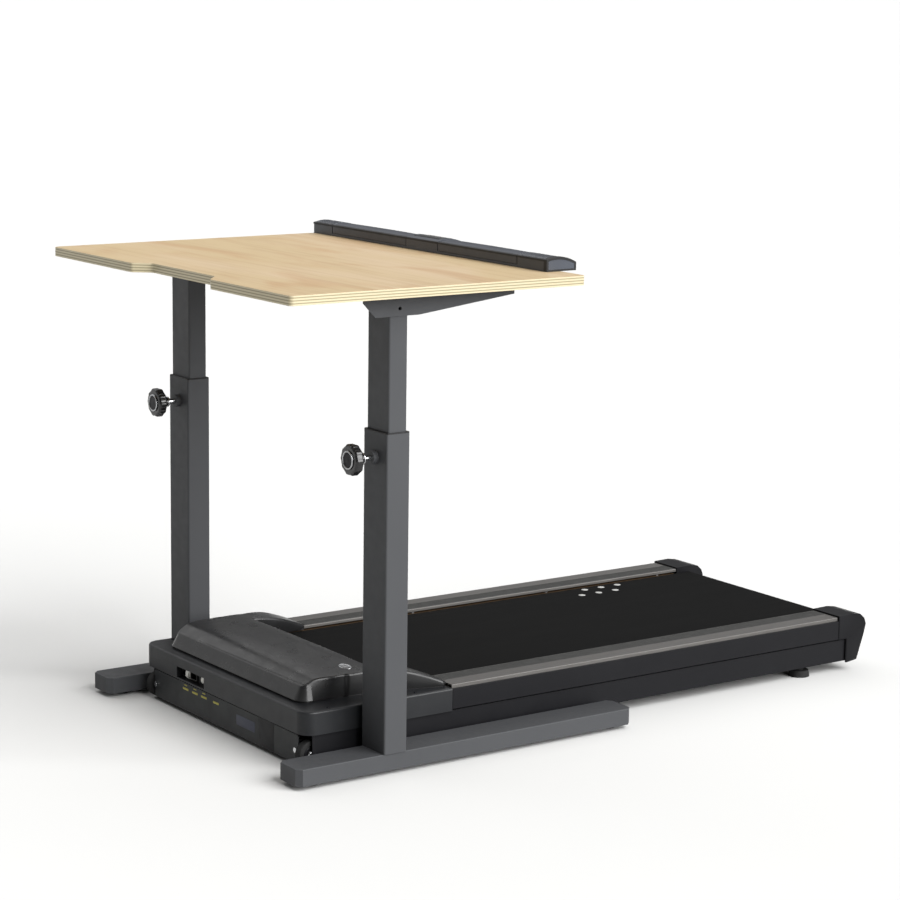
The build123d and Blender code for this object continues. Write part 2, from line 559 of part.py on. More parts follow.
def desk_foot():
    foot = Pos(LEG_X, 0, FOOT_BOTTOM) * extrude(foot_plan(0), FOOT_TOP - FOOT_BOTTOM)
    foot = fillet(foot.faces().sort_by(Axis.Z)[-1].edges(), 2)
    foot -= Pos(LEG_X, 0, FOOT_BOTTOM + STEEL) * extrude(foot_plan(STEEL), FOOT_TOP - FOOT_BOTTOM - 2 * STEEL)
    for y in LEVELLER_YS:
        foot -= rod_z(FOOT_BOTTOM - 1, FOOT_BOTTOM + STEEL + 1, LEG_X, y, 4.3)
    for x, y in leg_bolt_places():
        foot -= rod_z(FOOT_TOP - STEEL - 1, FOOT_TOP + 1, x, y, 4.2)
        foot -= rod_z(FOOT_BOTTOM - 1, FOOT_BOTTOM + STEEL + 1, x, y, 8)
    return foot


def leg_bolt_places():
    return [(LEG_X + dx, LEG_Y + dy) for dx in (-28, 28) for dy in (-15, 15)]


def leg_bolt(x, y):
    head_top = FOOT_TOP - STEEL
    return hex_z(head_top - 6, head_top, x, y, 13) + rod_z(head_top - 1, FOOT_TOP + 14, x, y, 4)


def leveller(y):
    pad = Pos(LEG_X, y, 3) * Cone(19, 17, 6)
    pad += hex_z(6, 10.5, LEG_X, y, 14)
    return pad + rod_z(10, 36, LEG_X, y, 4)


def outer_leg():
    """The fixed tube, with its base plate and the threaded boss of the lock screw."""
    half_y = OUTER_Y / 2
    leg = round_tube_z(LEG_X, LEG_Y, OUTER_X, OUTER_Y, FOOT_TOP, OUTER_TOP, OUTER_WALL, TUBE_CORNER)
    plate = Pos(LEG_X, LEG_Y, FOOT_TOP) * extrude(
        RectangleRounded(OUTER_X - 2 * OUTER_WALL, OUTER_Y - 2 * OUTER_WALL, TUBE_CORNER - OUTER_WALL), 8)
    for x, y in leg_bolt_places():
        plate -= rod_z(FOOT_TOP - 1, FOOT_TOP + 9, x, y, 4.1)
    boss = rod_y(LEG_Y - half_y - 12, LEG_Y - half_y + 0.5, LEG_X, KNOB_Z, 15)
    leg += plate + boss
    return leg - rod_y(LEG_Y - half_y - 13, LEG_Y - half_y + OUTER_WALL + 1, LEG_X, KNOB_Z, SCREW_R + RUN_GAP)


def leg_bushing():
    """The plastic sleeve in the top of the fixed tube, with a thin collar on its rim."""
    in_x, in_y = OUTER_X - 2 * OUTER_WALL, OUTER_Y - 2 * OUTER_WALL
    sleeve = Pos(0, 0, -34) * extrude(RectangleRounded(in_x, in_y, TUBE_CORNER - OUTER_WALL), 34)
    collar = extrude(RectangleRounded(OUTER_X, OUTER_Y, TUBE_CORNER), 3)
    collar = chamfer(collar.faces().sort_by(Axis.Z)[-1].edges(), 1)
    hole = Pos(0, 0, -35) * extrude(
        RectangleRounded(UPPER_X + 2 * SLIDE_GAP, UPPER_Y + 2 * SLIDE_GAP, TUBE_CORNER + SLIDE_GAP), 39)
    return Pos(LEG_X, LEG_Y, OUTER_TOP) * (sleeve + collar - hole)


# ---- desk: lock screws ----
def lock_knob():
    """Round knob with ten shallow lobes, a raised cap in front and a tapered back."""
    star = Circle(33)
    for turn in range(10):
        angle = math.radians(36 * turn)
        star += Pos(26 * math.cos(angle), 26 * math.sin(angle)) * Circle(8.5)
    front = KNOB_REAR - KNOB_THICK
    body = Pos(LEG_X, KNOB_REAR, KNOB_Z) * Rot(90, 0, 0) * extrude(star, KNOB_THICK)
    body = fillet(body.faces().sort_by(Axis.Y)[0].edges(), 6)
    body = fillet(body.faces().sort_by(Axis.Y)[-1].edges(), 5)
    body += rod_y(front - 2, front + 1, LEG_X, KNOB_Z, 20)
    body += Pos(LEG_X, KNOB_REAR + 3.5, KNOB_Z) * Rot(90, 0, 0) * Cone(14, 27, 9)
    body += rod_y(KNOB_REAR + 7, KNOB_REAR + 16, LEG_X, KNOB_Z, 12)
    return body - rod_y(KNOB_REAR - 14, KNOB_REAR + 17, LEG_X, KNOB_Z, 7)


def lock_screw():
    """Plated shank and the threaded end that presses on the inner tube."""
    boss_face = LEG_Y - OUTER_Y / 2 - 12
    shank = rod_y(KNOB_REAR - 14, boss_face - 0.4, LEG_X, KNOB_Z, 7)
    return shank + rod_y(boss_face - 1, LEG_Y - UPPER_Y / 2 - 0.4, LEG_X, KNOB_Z, SCREW_R)


# ---- desk: what rises and falls ----
def upper_leg():
    leg = round_tube_z(LEG_X, LEG_Y, UPPER_X, UPPER_Y, UPPER_BOTTOM, DESK_BOTTOM - BRACKET_WALL,
                       UPPER_WALL, TUBE_CORNER)
    side = LEG_X + UPPER_X / 2
    return leg - rod_x(side - UPPER_WALL - 1, side + 1, *BRACKET_HOLE, 3.5)


def desk_bracket():
    """A steel channel under the desktop, tapered to the rear, with its two webs on the tube's sides."""
    x0, x1 = LEG_X - BRACKET_HALF, LEG_X + BRACKET_HALF
    front, rear, low, high = FRONT + 73, FRONT + 463, BRACKET_LOW, DESK_BOTTOM
    outline = [(FRONT + 104, low), (FRONT + 214, low), (rear, low + 30), (rear, high), (front, high),
               (front, low + 32)]
    body = side_profile(outline, x1 - BRACKET_WALL, x1)
    inner_web = side_profile(outline, x0, x0 + BRACKET_WALL)
    body += inner_web - block(x0 - 1, x0 + BRACKET_WALL + 1, front - 1, FRONT + 150, low - 1, high)
    body += block(x0, x1, front, rear, high - BRACKET_WALL, high)
    body -= rod_x(x1 - BRACKET_WALL - 1, x1 + 1, *BRACKET_HOLE, 4)
    for y in SCREW_YS:
        for dx in (-SCREW_OFFSET, SCREW_OFFSET):
            body -= rod_z(high - 4, high + 1, LEG_X + dx, y, 2.4)
    return body


def desktop_screw(x, y):
    under = DESK_BOTTOM - BRACKET_WALL
    return rod_z(under - 2, under, x, y, 4.5) + rod_z(under - 1, DESK_BOTTOM + 14, x, y, 2.1)


def desktop_screw_places():
    across = [side * LEG_X + dx for side in (-1, 1) for dx in (-SCREW_OFFSET, SCREW_OFFSET)]
    return [(x, y) for x in across for y in SCREW_YS]


def cross_rail(y):
    reach = LEG_X - BRACKET_HALF
    return hollow_box(-reach, reach, y - 20, y + 20, DESK_BOTTOM - 24, DESK_BOTTOM - 2, 1.8, "x")


def desktop():
    """Plywood board with a shallow cable notch in its front edge."""
    y0, y1 = DESK_FRONT, DESK_REAR
    points = [(-DESK_HALF, y0), (NOTCH_OUT[0], y0), (NOTCH_IN[0], y0 + NOTCH_DEPTH),
              (NOTCH_IN[1], y0 + NOTCH_DEPTH), (NOTCH_OUT[1], y0), (DESK_HALF, y0),
              (DESK_HALF, y1), (-DESK_HALF, y1)]
    plan = make_face(Polyline(*points, close=True))
    notch = [v for v in plan.vertices() if abs(v.X) < DESK_HALF - 1]
    plan = fillet(notch, 14)
    corners = [v for v in plan.vertices() if abs(v.X) > DESK_HALF - 1]
    plan = fillet(corners, 10)
    board = Pos(0, 0, DESK_BOTTOM) * extrude(plan, DESK_THICK)
    for x, y in desktop_screw_places():
        board -= rod_z(DESK_BOTTOM - 1, DESK_BOTTOM + 15, x, y, 2.2)
    return board


# ---- console bar ----
def bar_section(x0, x1, lift, low):
    """A length of the bar: flat below, crowned on top and lower towards the user."""
    face_z, crest_z, user_z = DESK_TOP + 26, DESK_TOP + 31, DESK_TOP + 18
    line = Polyline((BAR_FRONT, face_z + lift), (BAR_FRONT, low), (BAR_REAR, low), (BAR_REAR, user_z + lift))
    crown = ThreePointArc((BAR_REAR, user_z + lift), (BAR_FRONT + 36, crest_z + lift),
                          (BAR_FRONT, face_z + lift))
    return extrude(Plane.YZ.offset(x0) * make_face(line + crown), x1 - x0)


def console_base():
    """The tray along the whole bar, its two end blocks and the hooks under the desktop."""
    top = DESK_TOP + BAR_SLAB
    tray = block(BAR_X0, BAR_X1, BAR_FRONT, BAR_REAR, DESK_TOP, top)
    for x0, x1 in ((BAR_X0, BAR_X0 + 86), (BAR_X1 - 110, BAR_X1)):
        tray += bar_section(x0, x1, 0, DESK_TOP)
    for x in (-300, 230):
        tray += block(x - 25, x + 25, DESK_REAR + 0.5, DESK_REAR + 4, DESK_BOTTOM - 3, DESK_TOP + 1)
        tray += block(x - 25, x + 25, DESK_REAR - 30, DESK_REAR + 4, DESK_BOTTOM - 3, DESK_BOTTOM)
    return tray


def armrest_pads():
    spans = ((BAR_X0 + 87, MODULE_X0 - 1), (MODULE_X1 + 1, BAR_X1 - 111))
    return [bar_section(x0, x1, 0, DESK_TOP + BAR_SLAB) for x0, x1 in spans]


def console_module():
    """Hollow control housing with a window and holes for the buttons."""
    low = DESK_TOP + BAR_SLAB
    shell = bar_section(MODULE_X0, MODULE_X1, 2, low)
    shell -= block(MODULE_X0 + 3, MODULE_X1 - 3, BAR_FRONT + 4, BAR_REAR - 4, low - 1, DESK_TOP + 14)
    shell -= block(LENS_X0, LENS_X1, LENS_Y0, LENS_Y1, DESK_TOP + 10, DESK_TOP + 50)
    for x in BUTTON_XS:
        shell -= rod_z(DESK_TOP + 10, DESK_TOP + 50, x, BUTTON_Y, BUTTON_R + 0.5)
    return shell


def console_lens():
    """The display behind its dark window, flush with the housing's crown."""
    tall = bar_section(LENS_X0 + 0.2, LENS_X1 - 0.2, 1.6, DESK_TOP + 14)
    return tall & block(LENS_X0 - 1, LENS_X1 + 1, LENS_Y0 + 0.2, LENS_Y1 - 0.2, DESK_TOP + 14, DESK_TOP + 50)


def console_button(x):
    cap = bar_section(x - BUTTON_R, x + BUTTON_R, 3.4, DESK_TOP + 17) & rod_z(
        DESK_TOP + 17, DESK_TOP + 50, x, BUTTON_Y, BUTTON_R)
    return cap


# ---- write every sub-part ----
os.makedirs("parts", exist_ok=True)

save("side_beams", *both(side_beam()))
save("cross_members", *[cross_tube(y) for y in CROSS_YS], *front_member(), motor_bed())
save("deck_board", deck_board())
deck_points = [(x, y) for y in CROSS_YS for x in (-DECK_BOLT_X, DECK_BOLT_X)]
save("deck_cushions", *[deck_cushion(x, y) for x, y in deck_points])
save("deck_bolts", *[deck_bolt(x, y) for x, y in deck_points])
save("walking_belt", walking_belt())
save("roller_axles", roller_axle(FRONT_ROLLER_Y, False), roller_axle(REAR_ROLLER_Y, True))
save("roller_bearings", *[roller_bearing(x0, y) for y in (FRONT_ROLLER_Y, REAR_ROLLER_Y)
                          for x0 in (-ROLLER_HALF + 2, ROLLER_HALF - 14)])
save("belt_adjusters", *both(belt_adjuster()))
save("front_roller", driven_roller())
save("rear_roller", roller(REAR_ROLLER_Y))
save("drive_motor", drive_motor())
save("motor_rotor", motor_rotor())
save("drive_belt", drive_belt())
save("motor_controller", motor_controller())

save("front_cover", front_cover())
save("motor_hood", motor_hood())
save("cover_screws", *[cover_screw(x, y) for x, y in COVER_SCREWS])
save("front_panel", front_panel())
save("grip_strips", *both(grip_strip()))
save("side_skirts", *both(side_skirt()), *both(side_panel()))
for side, place in (("right", lambda shape: shape), ("left", mirrored)):
    save(f"foot_rail_{side}", place(foot_rail()))
    save(f"rear_cap_{side}", place(rear_cap()))
    save(f"transport_wheel_{side}", place(transport_wheel()))
    save(f"desk_foot_{side}", place(desk_foot()))
    save(f"outer_leg_{side}", place(outer_leg()))
    save(f"lock_knob_{side}", place(lock_knob()))
    save(f"lock_screw_{side}", place(lock_screw()))
    for end, y in zip(("front", "rear"), LEVELLER_YS):
        save(f"leveller_{end}_{side}", place(leveller(y)))

save("io_plate", io_plate())
save("power_inlet", power_inlet())
save("rocker_switch", rocker_switch())
save("breaker_button", breaker_button())
save("front_bolts", *both(wheel_bolt()), *both(panel_bolt()))
save("rubber_feet", *[rubber_foot(x, y) for x, y in FRONT_FEET + REAR_FEET])
save("leg_bolts", *[piece for x, y in leg_bolt_places() for piece in both(leg_bolt(x, y))])
save("leg_bushings", *both(leg_bushing()))

save("desktop", desktop())
save("upper_legs", *both(upper_leg()))
save("desk_brackets", *both(desk_bracket()))
save("cross_rails", cross_rail(FRONT + 180), cross_rail(FRONT + 360))
save("desktop_screws", *[desktop_screw(x, y) for x, y in desktop_screw_places()])
save("console_base", console_base())
save("armrest_pads", *armrest_pads())
save("console_module", console_module())
save("console_lens", console_lens())
for name, x in zip(BUTTON_NAMES, BUTTON_XS):
    save(name, console_button(x))
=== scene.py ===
"""Looks of a walking treadmill under its desk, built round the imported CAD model.

Metres, +Z up, +Y from the motor end to the rear. Pieces made here sit where the CAD nodes are.
"""

import math

import bmesh
import bpy
from mathutils import Matrix, Vector


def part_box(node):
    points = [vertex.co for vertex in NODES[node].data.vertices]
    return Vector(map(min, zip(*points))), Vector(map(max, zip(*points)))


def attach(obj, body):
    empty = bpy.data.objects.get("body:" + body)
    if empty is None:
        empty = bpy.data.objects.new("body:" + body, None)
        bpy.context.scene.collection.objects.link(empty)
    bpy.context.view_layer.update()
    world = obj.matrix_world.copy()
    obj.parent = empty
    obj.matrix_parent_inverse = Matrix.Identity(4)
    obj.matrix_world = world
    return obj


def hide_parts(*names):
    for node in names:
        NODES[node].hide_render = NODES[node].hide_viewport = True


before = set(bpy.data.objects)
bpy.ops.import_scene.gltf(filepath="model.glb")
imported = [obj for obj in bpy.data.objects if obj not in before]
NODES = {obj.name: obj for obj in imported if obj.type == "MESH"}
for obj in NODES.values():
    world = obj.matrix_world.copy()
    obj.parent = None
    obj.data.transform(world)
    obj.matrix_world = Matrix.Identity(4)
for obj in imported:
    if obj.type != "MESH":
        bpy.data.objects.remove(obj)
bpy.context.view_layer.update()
MM = 0.001


# ---- sizes read from the frame ----
HOOD_LO, HOOD_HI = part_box("motor_hood")
COVER_LO, COVER_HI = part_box("front_cover")
PANEL_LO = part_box("front_panel")[0]
DESK_LO, DESK_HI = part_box("desktop")
BAR_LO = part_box("console_base")[0]
FRONT = COVER_LO.y                       # front face of the treadmill
BAR_DEPTH = 80 * MM                      # of the console bar, from its front face to the user's side


# ---- materials ----
def linear(code):
    """An sRGB colour such as '3c3c3e' as linear RGBA."""
    channels = [int(code[i:i + 2], 16) / 255 for i in (0, 2, 4)]
    return [c / 12.92 if c <= 0.04045 else ((c + 0.055) / 1.055) ** 2.4 for c in channels] + [1.0]


class Finish:
    """A material made of a Principled shader fed by small procedural textures in object space."""

    def __init__(self, name, colour, roughness, metallic=0.0, specular=0.5):
        self.material = bpy.data.materials.new(name)
        self.material.use_nodes = True
        self.tree = self.material.node_tree
        self.shader = self.tree.nodes["Principled BSDF"]
        self.shader.inputs["Base Color"].default_value = linear(colour)
        self.shader.inputs["Roughness"].default_value = roughness
        self.shader.inputs["Metallic"].default_value = metallic
        self.shader.inputs["Specular IOR Level"].default_value = specular
        self.place = self.tree.nodes.new("ShaderNodeTexCoord").outputs["Object"]
        self.colour = None
        self.normal = None

    def add(self, kind, **settings):
        node = self.tree.nodes.new(kind)
        for key, value in settings.items():
            setattr(node, key, value)
        return node

    def link(self, source, target):
        self.tree.links.new(source, target)

    def noise(self, scale, detail=3.0, stretch=(1, 1, 1), distortion=0.0):
        """Noise in object space; stretch multiplies the frequency along each axis."""
        mapping = self.add("ShaderNodeMapping")
        mapping.inputs["Scale"].default_value = stretch
        self.link(self.place, mapping.inputs["Vector"])
        texture = self.add("ShaderNodeTexNoise")
        texture.inputs["Scale"].default_value = scale
        texture.inputs["Detail"].default_value = detail
        texture.inputs["Distortion"].default_value = distortion
        self.link(mapping.outputs["Vector"], texture.inputs["Vector"])
        return texture.outputs["Fac"]

    def wave(self, period, turn):
        """Straight ridges of that period in metres, turned about Z by turn degrees."""
        mapping = self.add("ShaderNodeMapping")
        mapping.inputs["Rotation"].default_value = (0, 0, math.radians(turn))
        self.link(self.place, mapping.inputs["Vector"])
        texture = self.add("ShaderNodeTexWave", wave_type="BANDS", bands_direction="X")
        texture.inputs["Scale"].default_value = 0.31416 / period
        self.link(mapping.outputs["Vector"], texture.inputs["Vector"])
        return texture.outputs["Fac"]

    def math(self, operation, a, b=0.0):
        node = self.add("ShaderNodeMath", operation=operation)
        for socket, value in zip(node.inputs, (a, b)):
            if isinstance(value, (int, float)):
                socket.default_value = value
            else:
                self.link(value, socket)
        return node.outputs[0]

    def between(self, value, low, high, out_low=0.0, out_high=1.0):
        node = self.add("ShaderNodeMapRange")
        self.link(value, node.inputs["Value"])
        for name, number in zip(("From Min", "From Max", "To Min", "To Max"), (low, high, out_low, out_high)):
            node.inputs[name].default_value = number
        return node.outputs["Result"]

    def tint(self, factor, code):
        """Mixes another colour over the base colour."""
        mix = self.add("ShaderNodeMix", data_type="RGBA")
        self.link(factor, mix.inputs["Factor"])
        base = self.shader.inputs["Base Color"]
        if self.colour is None:
            mix.inputs["A"].default_value = base.default_value
        else:
            self.link(self.colour, mix.inputs["A"])
        mix.inputs["B"].default_value = linear(code)
        self.colour = mix.outputs["Result"]
        self.link(self.colour, base)
        return self

    def roughen(self, value, low, high):
        self.link(self.between(value, 0.3, 0.7, low, high), self.shader.inputs["Roughness"])
        return self

    def bump(self, height, distance, strength=1.0):
        node = self.add("ShaderNodeBump")
        node.inputs["Distance"].default_value = distance
        node.inputs["Strength"].default_value = strength
        self.link(height, node.inputs["Height"])
        if self.normal is not None:
            self.link(self.normal, node.inputs["Normal"])
        self.normal = node.outputs["Normal"]
        self.link(self.normal, self.shader.inputs["Normal"])
        return self

    def painted_edge_highlight(self, code, amount):
        """Paints a highlight on convex edges: lightens them as if they caught the light."""
        edge = self.add("ShaderNodeNewGeometry").outputs["Pointiness"]
        return self.tint(self.between(edge, 0.52, 0.62, 0.0, amount), code)

    def axis(self, name):
        split = self.add("ShaderNodeSeparateXYZ")
        self.link(self.place, split.inputs[0])
        return split.outputs[name]

    def coat(self, weight, roughness):
        self.shader.inputs["Coat Weight"].default_value = weight
        self.shader.inputs["Coat Roughness"].default_value = roughness
        return self


def powder_coat(name, colour, light, roughness=0.5):
    """Baked powder: orange peel about a millimetre across, with a painted highlight on its edges."""
    finish = Finish(name, colour, roughness, specular=0.18)
    finish.tint(finish.between(finish.noise(3.0), 0.35, 0.75, 0.0, 0.25), light)
    # painted highlight: convex edges lightened as if lit
    finish.painted_edge_highlight(light, 0.5)
    finish.roughen(finish.noise(40.0), roughness - 0.05, roughness + 0.06)
    return finish.bump(finish.noise(900.0, detail=1.0), 0.00012, 0.5).material


def moulded(name, colour, light, roughness=0.42, specular=0.4, grain=1400.0):
    """Injection-moulded plastic with a fine spark-eroded grain."""
    finish = Finish(name, colour, roughness, specular=specular)
    finish.tint(finish.between(finish.noise(5.0, detail=4.0), 0.4, 0.8, 0.0, 0.3), light)
    # painted highlight: convex edges lightened as if lit
    finish.painted_edge_highlight(light, 0.6)
    finish.roughen(finish.noise(25.0, detail=4.0), roughness - 0.05, roughness + 0.07)
    return finish.bump(finish.noise(grain, detail=1.0), 0.00008, 0.5).material


def rubber(name, colour, light):
    finish = Finish(name, colour, 0.8, specular=0.25)
    finish.tint(finish.between(finish.noise(60.0, detail=5.0), 0.4, 0.75, 0.0, 0.5), light)
    return finish.bump(finish.noise(500.0, detail=3.0), 0.0002, 0.6).material


def belt_rubber():
    """Belt cover with a fine pressed diamond pattern and faint lengthwise scuffs."""
    finish = Finish("belt_surface", "121212", 0.9, specular=0.03)
    finish.tint(finish.between(finish.noise(9.0, stretch=(9, 0.5, 1)), 0.45, 0.8, 0.0, 0.35), "191919")
    finish.tint(finish.between(finish.noise(1500.0, detail=2.0), 0.5, 0.9, 0.0, 0.5), "1b1b1b")
    diamonds = finish.math("MULTIPLY", finish.wave(0.0024, 40), finish.wave(0.0024, -40))
    return finish.bump(diamonds, 0.0003, 0.6).material


def brushed(name, colour, light, roughness=0.38, metallic=0.9, along=(1, 0.02, 1)):
    """Extruded or drawn metal with streaks along one axis."""
    finish = Finish(name, colour, roughness, metallic)
    streaks = finish.noise(700.0, detail=4.0, stretch=along)
    finish.tint(finish.between(streaks, 0.35, 0.7, 0.0, 0.5), light)
    finish.roughen(streaks, roughness - 0.08, roughness + 0.1)
    return finish.bump(streaks, 0.00006, 0.5).material


def polished(name, colour, roughness=0.12):
    finish = Finish(name, colour, roughness, 1.0)
    finish.roughen(finish.noise(160.0, detail=5.0), roughness - 0.04, roughness + 0.08)
    return finish.bump(finish.noise(60.0), 0.00004, 0.3).material


def glossy(name, colour, light, roughness=0.16):
    """Shiny moulding with handling smears."""
    finish = Finish(name, colour, roughness)
    finish.tint(finish.between(finish.noise(30.0), 0.5, 0.9, 0.0, 0.4), light)
    finish.roughen(finish.noise(90.0, detail=5.0), roughness - 0.06, roughness + 0.14)
    return finish.bump(finish.noise(300.0), 0.00004, 0.4).material


def plywood():
    """Clear-lacquered birch ply: cathedral grain and cloudy patches on the faces, ply lines on the edge."""
    finish = Finish("birch_plywood", "af9a76", 0.45, specular=0.25)
    clouds = finish.noise(1.6, detail=2.0, stretch=(0.8, 2.6, 1), distortion=0.6)
    finish.tint(finish.between(clouds, 0.42, 0.66, 0.0, 0.8), "b6a184")
    patches = finish.noise(4.2, detail=3.0, stretch=(0.6, 2.4, 1), distortion=1.2)
    finish.tint(finish.between(patches, 0.48, 0.7, 0.0, 0.55), "a2815c")
    grain = finish.noise(46.0, detail=5.0, stretch=(0.05, 1.0, 1), distortion=0.8)
    finish.tint(finish.between(grain, 0.48, 0.75, 0.0, 0.32), "8c6e4c")
    pores = finish.noise(900.0, detail=2.0, stretch=(0.03, 1.0, 1))
    finish.tint(finish.between(pores, 0.62, 0.8, 0.0, 0.28), "795a39")

    height = finish.axis("Z")
    share = finish.between(height, DESK_LO.z, DESK_HI.z)
    plies = finish.math("SINE", finish.math("MULTIPLY", share, 7 * math.pi))
    dark_ply = finish.between(plies, -0.15, -0.55)
    half = (DESK_HI.z - DESK_LO.z) / 2
    depth = finish.math("ABSOLUTE", finish.math("SUBTRACT", height, DESK_LO.z + half))
    on_edge = finish.math("LESS_THAN", depth, half - 0.25 * MM)
    fleck = finish.noise(260.0, detail=3.0, stretch=(0.4, 0.4, 2.0))
    finish.tint(finish.math("MULTIPLY", on_edge, finish.between(fleck, 0.3, 0.7, 0.75, 1.0)), "aca48a")
    finish.tint(finish.math("MULTIPLY", on_edge, finish.math("MULTIPLY", dark_ply, 0.8)), "6e6549")
    finish.coat(0.25, 0.25)
    return finish.bump(grain, 0.00012, 0.5).material


def display_glass():
    finish = Finish("display_window", "07080a", 0.08)
    finish.tint(finish.between(finish.noise(200.0), 0.5, 0.9, 0.0, 0.2), "15181c")
    return finish.coat(1.0, 0.04).material


def printed(name, colour, other):
    """Matt ink or film with slight unevenness."""
    finish = Finish(name, colour, 0.55, specular=0.3)
    finish.tint(finish.between(finish.noise(400.0, detail=3.0), 0.4, 0.8, 0.0, 0.5), other)
    return finish.bump(finish.noise(900.0), 0.00003, 0.3).material


LEG = powder_coat("leg_powder_coat", "37383a", "434446")
FRAME_BLACK = powder_coat("frame_black", "0f0f10", "1b1b1d", 0.45)
SKIRT = moulded("skirt_enamel", "121214", "1a1a1c", 0.42, 0.08)
COVER = moulded("cover_moulding", "18191b", "232426", 0.36, 0.25)
HOOD = moulded("hood_moulding", "171718", "212120", 0.3, 0.35)
PANEL = moulded("panel_moulding", "1c1e1f", "252728", 0.42, 0.25)
CAP = moulded("cap_moulding", "0f0f11", "19191b", 0.34, 0.1)
BLACK = moulded("black_moulding", "0c0c0d", "161618", 0.5, 0.3)
RAIL = brushed("rail_extrusion", "4a4846", "5c5a58", 0.42, 0.35)
GRIP = rubber("grip_ribs", "262625", "323231")
BELT = belt_rubber()
RUBBER = rubber("black_rubber", "151515", "262626")
DECK = printed("deck_board_face", "4b3a28", "5c4832")
PLYWOOD = plywood()
STEEL = brushed("turned_steel", "9a9b9d", "c2c3c5", 0.32, 1.0, (0.02, 1, 1))
CHROME = polished("chrome_plate", "d8d9db")
OXIDE = polished("black_oxide", "1c1c1e", 0.35)
ALUMINIUM = brushed("heat_sink_aluminium", "a2a4a6", "bcbec0", 0.4, 1.0)
KNOB = glossy("knob_moulding", "0d0d0e", "1b1b1d", 0.2)
SILVER = polished("silver_trim", "a9aaac", 0.25)
WHITE = glossy("white_moulding", "d9d8d2", "c6c4bc", 0.35)
CONSOLE = moulded("console_moulding", "2b2e35", "363a42", 0.34, 0.4)
# glossier skin for the crown and end panel; its colour, lighter than the bar's, is a painted highlight
CONSOLE_GLOSS_PAINTED_HIGHLIGHT = moulded("console_crown_painted_highlight", "2f3239", "3b3f47", 0.24, 0.5)
PAD = moulded("armrest_skin", "2c2f37", "383c44", 0.36, 0.4, grain=800.0)
LENS = display_glass()
KEY_GREY = rubber("key_grey", "7c7f84", "8e9196")
KEY_GREEN = rubber("key_green", "2c7a3c", "3b8c4b")
KEY_RED = rubber("key_red", "a52a22", "b93a31")
YELLOW = printed("yellow_ink", "a8a04a", "8c8640")
GREY_INK = printed("grey_ink", "9a9a98", "84847f")
LABEL = printed("blank_label", "3d3f4a", "474956")


# ---- CAD nodes: finish and rounded edges ----
def dress(node, material, edge=0.0):
    """Gives a CAD node its finish and, by modifiers, edges rounded to a radius in millimetres."""
    obj = NODES[node]
    for index in range(len(obj.material_slots)):
        obj.material_slots[index].material = material
    if edge:
        for polygon in obj.data.polygons:
            polygon.use_smooth = True
        weld = obj.modifiers.new("weld", "WELD")
        weld.merge_threshold = 0.00001
        flat = obj.modifiers.new("flat", "DECIMATE")
        flat.decimate_type = "DISSOLVE"
        flat.angle_limit = math.radians(0.5)
        round_edges(obj, edge)


def round_edges(obj, edge, segments=2):
    bevel = obj.modifiers.new("rounded", "BEVEL")
    bevel.width = edge * MM
    bevel.segments = segments
    bevel.limit_method = "ANGLE"
    bevel.angle_limit = math.radians(32)
    bevel.miter_outer = "MITER_ARC"
    split = obj.modifiers.new("split", "EDGE_SPLIT")
    split.split_angle = math.radians(40)
    shading = obj.modifiers.new("shading", "WEIGHTED_NORMAL")
    shading.weight = 80


DRESS = (
    (LEG, 0.5, ("outer_leg_right", "outer_leg_left", "upper_legs")),
    (LEG, 1.6, ("desk_foot_right", "desk_foot_left")),
    (LEG, 0.9, ("desk_brackets", "cross_rails")),
    (FRAME_BLACK, 0.8, ("side_beams", "cross_members", "drive_motor")),
    (SKIRT, 0.8, ("side_skirts",)),
    (COVER, 1.4, ("front_cover",)),
    (PANEL, 0.8, ("front_panel",)),
    (CAP, 1.2, ("rear_cap_right", "rear_cap_left")),
    (RAIL, 0.5, ("foot_rail_right", "foot_rail_left")),
    (BELT, 0.0, ("walking_belt",)),
    (RUBBER, 0.0, ("drive_belt", "deck_cushions")),
    (RUBBER, 0.8, ("rubber_feet", "transport_wheel_right", "transport_wheel_left")),
    (DECK, 0.6, ("deck_board",)),
    (PLYWOOD, 0.7, ("desktop",)),
    (STEEL, 0.0, ("roller_axles", "roller_bearings", "belt_adjusters", "deck_bolts", "leg_bolts")),
    (STEEL, 0.6, ("front_roller", "rear_roller", "motor_rotor")),
    (CHROME, 0.5, ("lock_screw_right", "lock_screw_left", "front_bolts")),
    (OXIDE, 0.3, ("cover_screws", "desktop_screws")),
    (ALUMINIUM, 0.4, ("motor_controller",)),
    (BLACK, 0.5, ("leg_bushings", "power_inlet", "io_plate", "leveller_front_right",
                  "leveller_front_left", "leveller_rear_right", "leveller_rear_left")),
    (KNOB, 0.0, ("lock_knob_right", "lock_knob_left")),
    (WHITE, 0.5, ("rocker_switch", "breaker_button")),
    (CONSOLE, 1.2, ("console_base", "console_module")),
    (LENS, 0.3, ("console_lens",)),
    (KEY_GREY, 0.5, ("speed_down_button", "speed_up_button")),
    (KEY_GREEN, 0.5, ("start_button",)),
    (KEY_RED, 0.5, ("stop_button",)),
)


# ---- shapes ----
def piece(name, vertices, faces, material, body, slot, smooth=True):
    mesh = bpy.data.meshes.new(name)
    mesh.from_pydata([tuple(v) for v in vertices], [], faces)
    cleaned = bmesh.new()
    cleaned.from_mesh(mesh)
    bmesh.ops.remove_doubles(cleaned, verts=cleaned.verts, dist=1e-6)
    bmesh.ops.recalc_face_normals(cleaned, faces=cleaned.faces)
    cleaned.to_mesh(mesh)
    cleaned.free()
    for polygon in mesh.polygons:
        polygon.use_smooth = smooth
    obj = bpy.data.objects.new(name, mesh)
    bpy.context.scene.collection.objects.link(obj)
    mesh.materials.append(material)
    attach(obj, body)
    return obj


